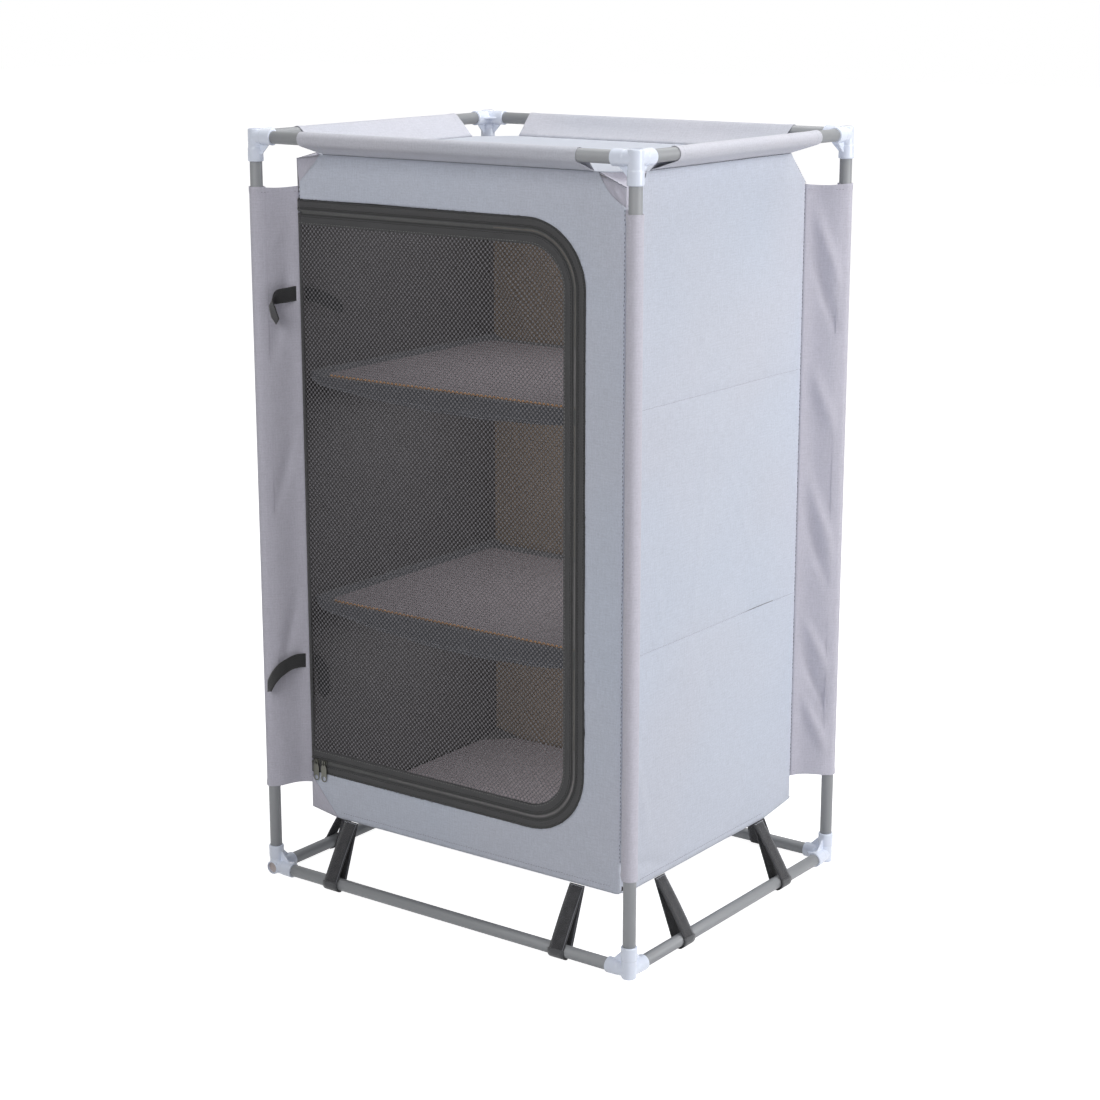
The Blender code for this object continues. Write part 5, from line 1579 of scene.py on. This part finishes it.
def net_slack(x, z):
    """How far the net stands in front of the door's plane."""
    free = smooth_step(-door_distance(x, z, NET_INSET), 0.0, NET_SLACK_FROM_EDGE)
    slack = -NET_SAG * free + ripples(x, z - 0.5, 51, 0.26, NET_RIPPLE) * free
    for start, end, width, height in NET_CREASES:
        slack = slack + crease(x, z, start, end, width, height)
    return slack


def net_mesh():
    """One sheet of strands: each hole is eight quads between its edge and the strands' crest."""
    columns = np.arange(math.floor(DOOR_LEFT / HOLE_ACROSS), math.ceil(DOOR_RIGHT / HOLE_ACROSS))
    rows = np.arange(math.floor(DOOR_LOW / HOLE_UP), math.ceil(DOOR_HIGH / HOLE_UP))
    i, j = (grid.ravel() for grid in np.meshgrid(columns, rows))
    keep = (i + j) % 2 == 0
    i, j = i[keep], j[keep]
    x, z = i * HOLE_ACROSS, j * HOLE_UP
    keep = (door_distance(x, z, NET_INSET) < NET_BEHIND) & (x > net_low.x + HOLE_ACROSS)
    i, j = i[keep], j[keep]
    rim = np.array([(2, 0), (1, 1), (0, 2), (-1, 1), (-2, 0), (-1, -1), (0, -2), (1, -1)])
    crest = np.stack([2 * i, 2 * j], -1)[:, None] + rim
    keys, number = np.unique(crest.reshape(-1, 2), axis=0, return_inverse=True)
    number = number.reshape(-1, 8)
    knot = (np.abs(keys).sum(1) % 2 == 0) & (keys[:, 0] % 2 == 0)
    angles = np.arange(8) * math.tau / 8
    size = np.array([HOLE_ACROSS, HOLE_UP * HOLE_FLATTER]) * HOLE_SHARE
    hole = np.stack([np.cos(angles), np.sin(angles)], -1) * size
    inner = np.stack([i * HOLE_ACROSS, j * HOLE_UP], -1)[:, None] + hole
    outer = keys * np.array([HOLE_ACROSS / 2, HOLE_UP / 2])
    flat = np.concatenate([outer, inner.reshape(-1, 2)])
    crest_height = np.where(knot, STRAND_CREST * 1.4, STRAND_CREST)
    height = np.concatenate([crest_height, np.full(inner.size // 2, -STRAND_CREST * 0.3)])
    y = -DOOR_PLANE - height - net_slack(flat[:, 0], flat[:, 1])
    spots = np.stack([flat[:, 0], y, flat[:, 1]], -1)
    base = len(outer) + np.arange(len(i))[:, None] * 8 + np.arange(8)
    after = np.roll(np.arange(8), -1)
    faces = np.stack([number, base, base[:, after], number[:, after]], -1).reshape(-1, 4)
    mesh = bpy.data.meshes.new("door_net_cloth")
    mesh.from_pydata(spots.tolist(), [], faces.tolist())
    lay_flat(mesh, flat)
    mesh.shade_smooth()
    return mesh


def net_material():
    """Dark yarn, with a painted highlight on its knots."""
    material, tree, shader = new_material("door_net")
    cut = flat_cut(tree)
    parts = parts_of(tree, stretched(tree, cut, math.pi / HOLE_ACROSS, math.pi / HOLE_UP))
    wave = maths(tree, "MULTIPLY", maths(tree, "COSINE", parts[0]), maths(tree, "COSINE", parts[1]))
    knot = ranged(tree, wave, -0.2, -0.9)
    cloud = noise(tree, cut, 30.0, 3.0)
    dark, light = photo_colour(64, 63, 65), photo_colour(76, 75, 78)
    yarn = mixed(tree, ranged(tree, cloud, 0.35, 0.65), dark, light)
    # Painted highlight: the knots are mixed towards a light grey.
    yarn_painted_highlight = mixed(tree, knot, yarn, photo_colour(124, 122, 127))
    fill(tree, shader, {"Base Color": yarn_painted_highlight, "Roughness": 0.55})
    bumped(tree, shader, noise(tree, cut, 2600.0, 2.0), 0.0002)
    return material


mesh = net_mesh()
net = put_on("door_net_cloth", mesh, "door", [net_material()], ["door_net"])
heights = np.linspace(net_low.z - BINDING_SPARE, net_high.z + BINDING_SPARE, 90)
profile = ((0.0, 0.0), (0.0002, 0.0007), (0.0012, 0.0010), (BINDING_WIDTH - 0.001, 0.0009),
           (BINDING_WIDTH, 0.0004), (BINDING_WIDTH, -0.0004))
bind = [[(net_low.x + across, -DOOR_PLANE - proud, z) for z in heights] for across, proud in profile]
mesh = face_towards(skin("door_net_binding", bind), FRONTWARD)
binding = put_on("door_net_binding", mesh, "door", [zip_tape])
thicken(binding, BINDING_THICKNESS)


# Zip sliders and pull tabs
# Two cast sliders of grey-green metal, parked side by side at the hinge end of the
# lower zip. Each has a round bail that a long stamped tab with a big hole hangs from.

SLIDER_LENGTH = 0.0115
SLIDER_WIDTH = 0.0090
PLATE_THICKNESS = 0.0009
PLATE_FACE = 0.0013
NECK_RADIUS = 0.0005
BAIL_HALF = 0.0026
BAIL_RISE = 0.0022
BAIL_RADIUS = 0.00055
BAIL_FLATTER = 1.4
TAB_WIDTH = 0.0095
TAB_NECK = 0.0060
TAB_THICKNESS = 0.0009
TAB_HOLE = 0.0033
TAB_HOLE_FROM_END = 0.0047
TAB_EYE = 0.0018
TAB_EYE_BELOW = 0.0019
TAB_EDGE = 0.00028
PLATE_EDGE = 0.0004
TAIL_ROUND = 0.002
TAIL_SHARE = 0.72

slider_metal = marked_material("slider_metal", photo_colour(104, 104, 97), 0.45, 900.0,
                               (0.28, 0.42), 0.00004, Metallic=0.8)
# The slider's body is the same metal painted darker, as the dark reflections that it shows.
slider_body_painted_reflection = marked_material("slider_body_painted_reflection", photo_colour(62, 62, 59), 0.45, 900.0,
                                    (0.24, 0.36), 0.00004, Metallic=0.8)


def slider_outline():
    """Seen from the front: a rounded nose on the closed side, a straight tail."""
    half_length, half_width = SLIDER_LENGTH / 2, SLIDER_WIDTH / 2
    nose = arc_points((half_length - half_width, 0), half_width, -78, 78, 16)
    x, z = -half_length + TAIL_ROUND, half_width * TAIL_SHARE - TAIL_ROUND
    return nose + arc_points((x, z), TAIL_ROUND, 100, 180, 6) + arc_points((x, -z), TAIL_ROUND, 180, 260, 6)


def tab_outline(length):
    """Tab hanging from its crossbar at the origin: edge, eye for the bail, and hole."""
    half, neck = TAB_WIDTH / 2, TAB_NECK / 2
    end = TAB_THICKNESS / 2 - length
    flank = [(neck * 0.92, -0.0032), (half * 0.92, -0.0062), (half, -0.0085)]
    edge = arc_points((0, 0), neck, 150, 30, 9) + flank + arc_points((0, end + half), half, 0, -180, 20)
    edge += [(-x, z) for x, z in reversed(flank)]
    eye = arc_points((0, -TAB_EYE_BELOW), TAB_EYE, 0, 345, 24)
    hole = arc_points((0, end + TAB_HOLE_FROM_END), TAB_HOLE, 0, 350, 36)
    return [edge, eye, hole]


upright = Matrix.Rotation(math.radians(90), 4, "X")
for side in ("left", "right"):
    slider_low, slider_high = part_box("zip_slider_" + side)
    tab_low, tab_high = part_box("pull_tab_" + side)
    middle = (slider_low + slider_high) / 2
    centre = Vector((middle.x, -DOOR_PLANE, middle.z))
    proud = PLATE_FACE + PLATE_THICKNESS / 2
    for layer, way, stands_for in (("front", -1, ["zip_slider_" + side]), ("back", 1, [])):
        name = "zip_slider_" + side + "_" + layer
        plate = plate_mesh(name, [slider_outline()], PLATE_THICKNESS, PLATE_EDGE)
        plate.transform(Matrix.Translation(centre + Vector((0, way * proud, 0))) @ upright)
        put_on(name, plate, "slider_" + side, [slider_body_painted_reflection], stands_for)
    name = "zip_slider_" + side + "_bail"
    bow = [(BAIL_HALF * math.cos(t), PLATE_FACE + PLATE_THICKNESS * 0.6 + BAIL_RISE * math.sin(t) ** 0.7)
           for t in np.linspace(0, math.pi, 17)]
    rings = []
    for index, (rise, proud) in enumerate(bow):
        before, after = bow[max(index - 1, 0)], bow[min(index + 1, len(bow) - 1)]
        way = Vector((0, -(after[1] - before[1]), after[0] - before[0])).normalized()
        aside = Vector((1, 0, 0))
        out = way.cross(aside)
        spot = centre + Vector((0, -proud, rise))
        rings.append([spot + aside * x * BAIL_FLATTER + out * y for x, y, _ in circle(BAIL_RADIUS, 0, 12)])
    put_on(name, skin(name, rings, ring=True), "slider_" + side, [slider_body_painted_reflection])
    name = "zip_slider_" + side + "_neck"
    outline = arc_points((-SLIDER_LENGTH / 2 + 0.0022, 0), NECK_RADIUS, 0, 340, 18)
    neck = plate_mesh(name, [outline], 2 * PLATE_FACE + PLATE_THICKNESS, 0.0002)
    neck.transform(Matrix.Translation(centre) @ upright)
    put_on(name, neck, "slider_" + side, [slider_metal])
    name = "pull_tab_" + side + "_plate"
    length = tab_high.z - tab_low.z
    tab = plate_mesh(name, tab_outline(length), TAB_THICKNESS, TAB_EDGE)
    place = Vector((middle.x, (tab_low.y + tab_high.y) / 2, tab_high.z - TAB_THICKNESS / 2))
    tab.transform(Matrix.Translation(place) @ upright)
    put_on(name, tab, "tab_" + side, [slider_metal], ["pull_tab_" + side])


# Tie tapes
# Two black woven tapes sewn through the door's corner seam, one tail outside on the
# wing and one inside. They hold the door when it is rolled up.

TIE_WIDTH = 0.019
TIE_THICKNESS = 0.0008
TIE_POINT = 0.009
SPINE_STEPS = 46
tie_tape = tape_material("tie_tape", photo_colour(38, 38, 40), photo_colour(58, 58, 60),
                         (-1.0, 0.0005), 0.0012, 0.5)


def smooth_line(points, count):
    """A smooth curve through a few chosen points."""
    points = np.array(points, float)
    ends = np.concatenate([[2 * points[0] - points[1]], points, [2 * points[-1] - points[-2]]])
    spots = []
    for share in np.linspace(0, len(points) - 1 - 1e-9, count):
        k = int(share)
        t = share - k
        p0, p1, p2, p3 = ends[k:k + 4]
        spots.append(0.5 * (2 * p1 + (p2 - p0) * t + (2 * p0 - 5 * p1 + 4 * p2 - p3) * t * t
                            + (3 * p1 - p0 - 3 * p2 + p3) * t ** 3))
    return np.array(spots)


def add_tail(name, spine, across, replaces=()):
    """A tape with a pointed end along a spine. across gives its width's way at each chosen point."""
    line = smooth_line(spine, SPINE_STEPS)
    way = unit(smooth_line(across, SPINE_STEPS))
    gone = run_along(line)
    left = np.clip((gone[-1] - gone) / TIE_POINT, 0.04, 1)
    spread = np.linspace(-0.5, 0.5, 7) * TIE_WIDTH
    spots = line[:, None] + way[:, None] * (spread[None, :, None] * left[:, None, None])
    mesh = skin(name, spots, np.stack(np.meshgrid(spread, gone), -1))
    tail = put_on(name, mesh, "cupboard", [tie_tape], replaces)
    thicken(tail, TIE_THICKNESS, offset=0.0)


seam_spot = np.array([-(BODY_X - WING_ROOT[0]), -(BODY_Y - WING_ROOT[1])])
wing_way = np.array([-(AXIS_X - BODY_X), -(AXIS_Y - BODY_Y)])
wing_way /= np.linalg.norm(wing_way)
wing_front = np.array([-wing_way[1], wing_way[0]])
if wing_front[1] > 0:
    wing_front = -wing_front


def beside_wing(run, off, height):
    """A point this far out along the front left wing and this far in front of it."""
    spot = seam_spot + wing_way * run + wing_front * off
    return (spot[0], spot[1], height)


# Chosen points along each outer tail, out along the wing, in front of it and up, and its width's ways
TIE_TAILS = {
    "upper": (
        [(0.003, -0.0006, 0.0), (0.009, 0.0008, 0.001), (0.020, 0.0080, 0.000), (0.033, 0.0160, -0.001),
         (0.0405, 0.0195, -0.006), (0.0390, 0.0210, -0.016), (0.0360, 0.0200, -0.028),
         (0.0350, 0.0185, -0.036)],
        [UP, UP, UP, (0.15, -0.2, 0.95), (0.75, -0.5, 0.55), (0.9, -0.35, 0.1), (0.95, -0.25, 0.0),
         (0.95, -0.25, 0.0)],
    ),
    "lower": (
        [(0.003, -0.0006, 0.0), (0.010, 0.0012, 0.002), (0.024, 0.0105, 0.003), (0.039, 0.0180, -0.003),
         (0.050, 0.0205, -0.013), (0.057, 0.0205, -0.025), (0.060, 0.0195, -0.034)],
        [UP, UP, (0.0, 0.1, 1.0), (-0.25, 0.2, 0.9), (-0.5, 0.3, 0.75), (-0.6, 0.35, 0.6),
         (-0.65, 0.35, 0.55)],
    ),
}
# The same for the inner tails, in steps of X, Y and Z from the seam
INNER_TAILS = {
    "upper": (
        [(0, 0, 0), (0.012, 0.0015, -0.001), (0.030, 0.0030, -0.005), (0.048, 0.0035, -0.011),
         (0.062, 0.0030, -0.018)],
        [UP, UP, (0.2, 0, 1), (0.3, 0, 1), (0.4, 0, 1)],
    ),
    "lower": (
        [(0, 0, 0), (0.007, 0.002, -0.003), (0.010, 0.004, -0.014), (0.0105, 0.005, -0.034),
         (0.0105, 0.005, -0.052)],
        [UP, (0.6, 0.1, 0.7), (1, 0.2, 0.2), (1, 0.2, 0), (1, 0.2, 0)],
    ),
}
for level, (spine, across) in TIE_TAILS.items():
    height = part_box("tie_tape_" + level)[1].z - TIE_WIDTH / 2
    outer = [beside_wing(run, off, height + rise) for run, off, rise in spine]
    add_tail("tie_" + level + "_outer", outer, across, ["tie_tape_" + level])
    start = np.array([-(BODY_X - 0.0023), -(BODY_Y - 0.0082), height])
    spine, across = INNER_TAILS[level]
    add_tail("tie_" + level + "_inner", start + np.array(spine), across)


# Studio
# A pale floor and soft white light, with the brighter side on the right as in the
# picture. The camera stands where the photographer stood.

CAMERA_TURN = math.radians(36.194)
CAMERA_PITCH = math.radians(14.022)
CAMERA_DISTANCE = 3.094
CAMERA_LENS = 76.727
CAMERA_AIM = 0.5007
AIM_RIGHT = -0.0040
AIM_UP = -0.0520
WHITE = (1, 1, 1, 1)
SKY_LIGHT = 0.15
FLOOR_SIZE = 40.0
FLOOR_HEIGHT = -0.0002
FLOOR_GREY = (0.62, 0.62, 0.63, 1)
FLOOR_GLOW = 0.92
INNER_GLOW = {"top": 0.945, "middle": 0.66, "bottom": 0.355}
GLOW_SIZE = (0.40, 0.30)
GLOW_POWER = 0.50
GLOW_PLACE = -0.01

right = Vector((math.cos(CAMERA_TURN), math.sin(CAMERA_TURN), 0))
level_back = Vector((math.sin(CAMERA_TURN), -math.cos(CAMERA_TURN), 0))
back = level_back * math.cos(CAMERA_PITCH) + Vector((0, 0, math.sin(CAMERA_PITCH)))
up = back.cross(right)
camera = placed("camera", bpy.data.cameras.new("camera"))
camera.data.lens = CAMERA_LENS
camera.data.sensor_width = 36
camera.location = Vector((0, 0, CAMERA_AIM)) + right * AIM_RIGHT + up * AIM_UP + back * CAMERA_DISTANCE
camera.rotation_euler = Matrix((right, up, back)).transposed().to_euler()
bpy.context.scene.camera = camera


def add_lamp(name, spot, size, power):
    """A soft lamp, which looks straight down until it is aimed."""
    lamp = placed(name, bpy.data.lights.new(name, "AREA"))
    lamp.data.size = size
    lamp.data.energy = power
    lamp.location = spot
    return lamp


LAMPS = {"side_lamp": ((3.2, 0.6, 1.6), 2.0, 65), "front_lamp": ((0.3, -3.4, 2.4), 2.2, 45),
         "top_lamp": ((0.3, 0.6, 3.2), 2.0, 45)}
for name, (spot, size, power) in LAMPS.items():
    aim = Vector((0, 0, CAMERA_AIM)) - Vector(spot)
    lamp = add_lamp(name, spot, size, power)
    lamp.rotation_euler = aim.to_track_quat("-Z", "Y").to_euler()
# Daylight that comes through the pale cloth fills the inside under each level
for level, height in INNER_GLOW.items():
    glow = add_lamp("glow_" + level, (0, GLOW_PLACE, height), GLOW_SIZE[0], GLOW_POWER)
    glow.data.shape = "RECTANGLE"
    glow.data.size_y = GLOW_SIZE[1]
    glow.visible_camera = False
    glow.visible_glossy = False


def seen_directly(tree):
    """1 for what the camera sees, also in a mirror or through glass, and 0 for other light."""
    path = add_node(tree, "ShaderNodeLightPath", {}).outputs
    in_glass = maths(tree, "MAXIMUM", path["Is Glossy Ray"], path["Is Transmission Ray"])
    return maths(tree, "MAXIMUM", path["Is Camera Ray"], in_glass)


world = bpy.data.worlds.new("studio")
world.use_nodes = True
bpy.context.scene.world = world
tree = world.node_tree
strength = ranged(tree, seen_directly(tree), 0.0, 1.0, SKY_LIGHT, 1.0)
fill(tree, tree.nodes["Background"], {"Color": WHITE, "Strength": strength})

floor_mesh = bpy.data.meshes.new("floor")
half = FLOOR_SIZE / 2
floor_mesh.from_pydata([(-half, -half, 0), (half, -half, 0), (half, half, 0), (-half, half, 0)], [],
                       [(0, 1, 2, 3)])
floor = placed("floor", floor_mesh)
floor.location.z = FLOOR_HEIGHT
floor_material, tree, shader = new_material("pale_floor")
fill(tree, shader, {"Base Color": FLOOR_GREY, "Roughness": 0.9, "Emission Color": WHITE,
                    "Emission Strength": maths(tree, "MULTIPLY", seen_directly(tree), FLOOR_GLOW)})
floor_mesh.materials.append(floor_material)

bpy.context.scene.view_settings.view_transform = "Standard"
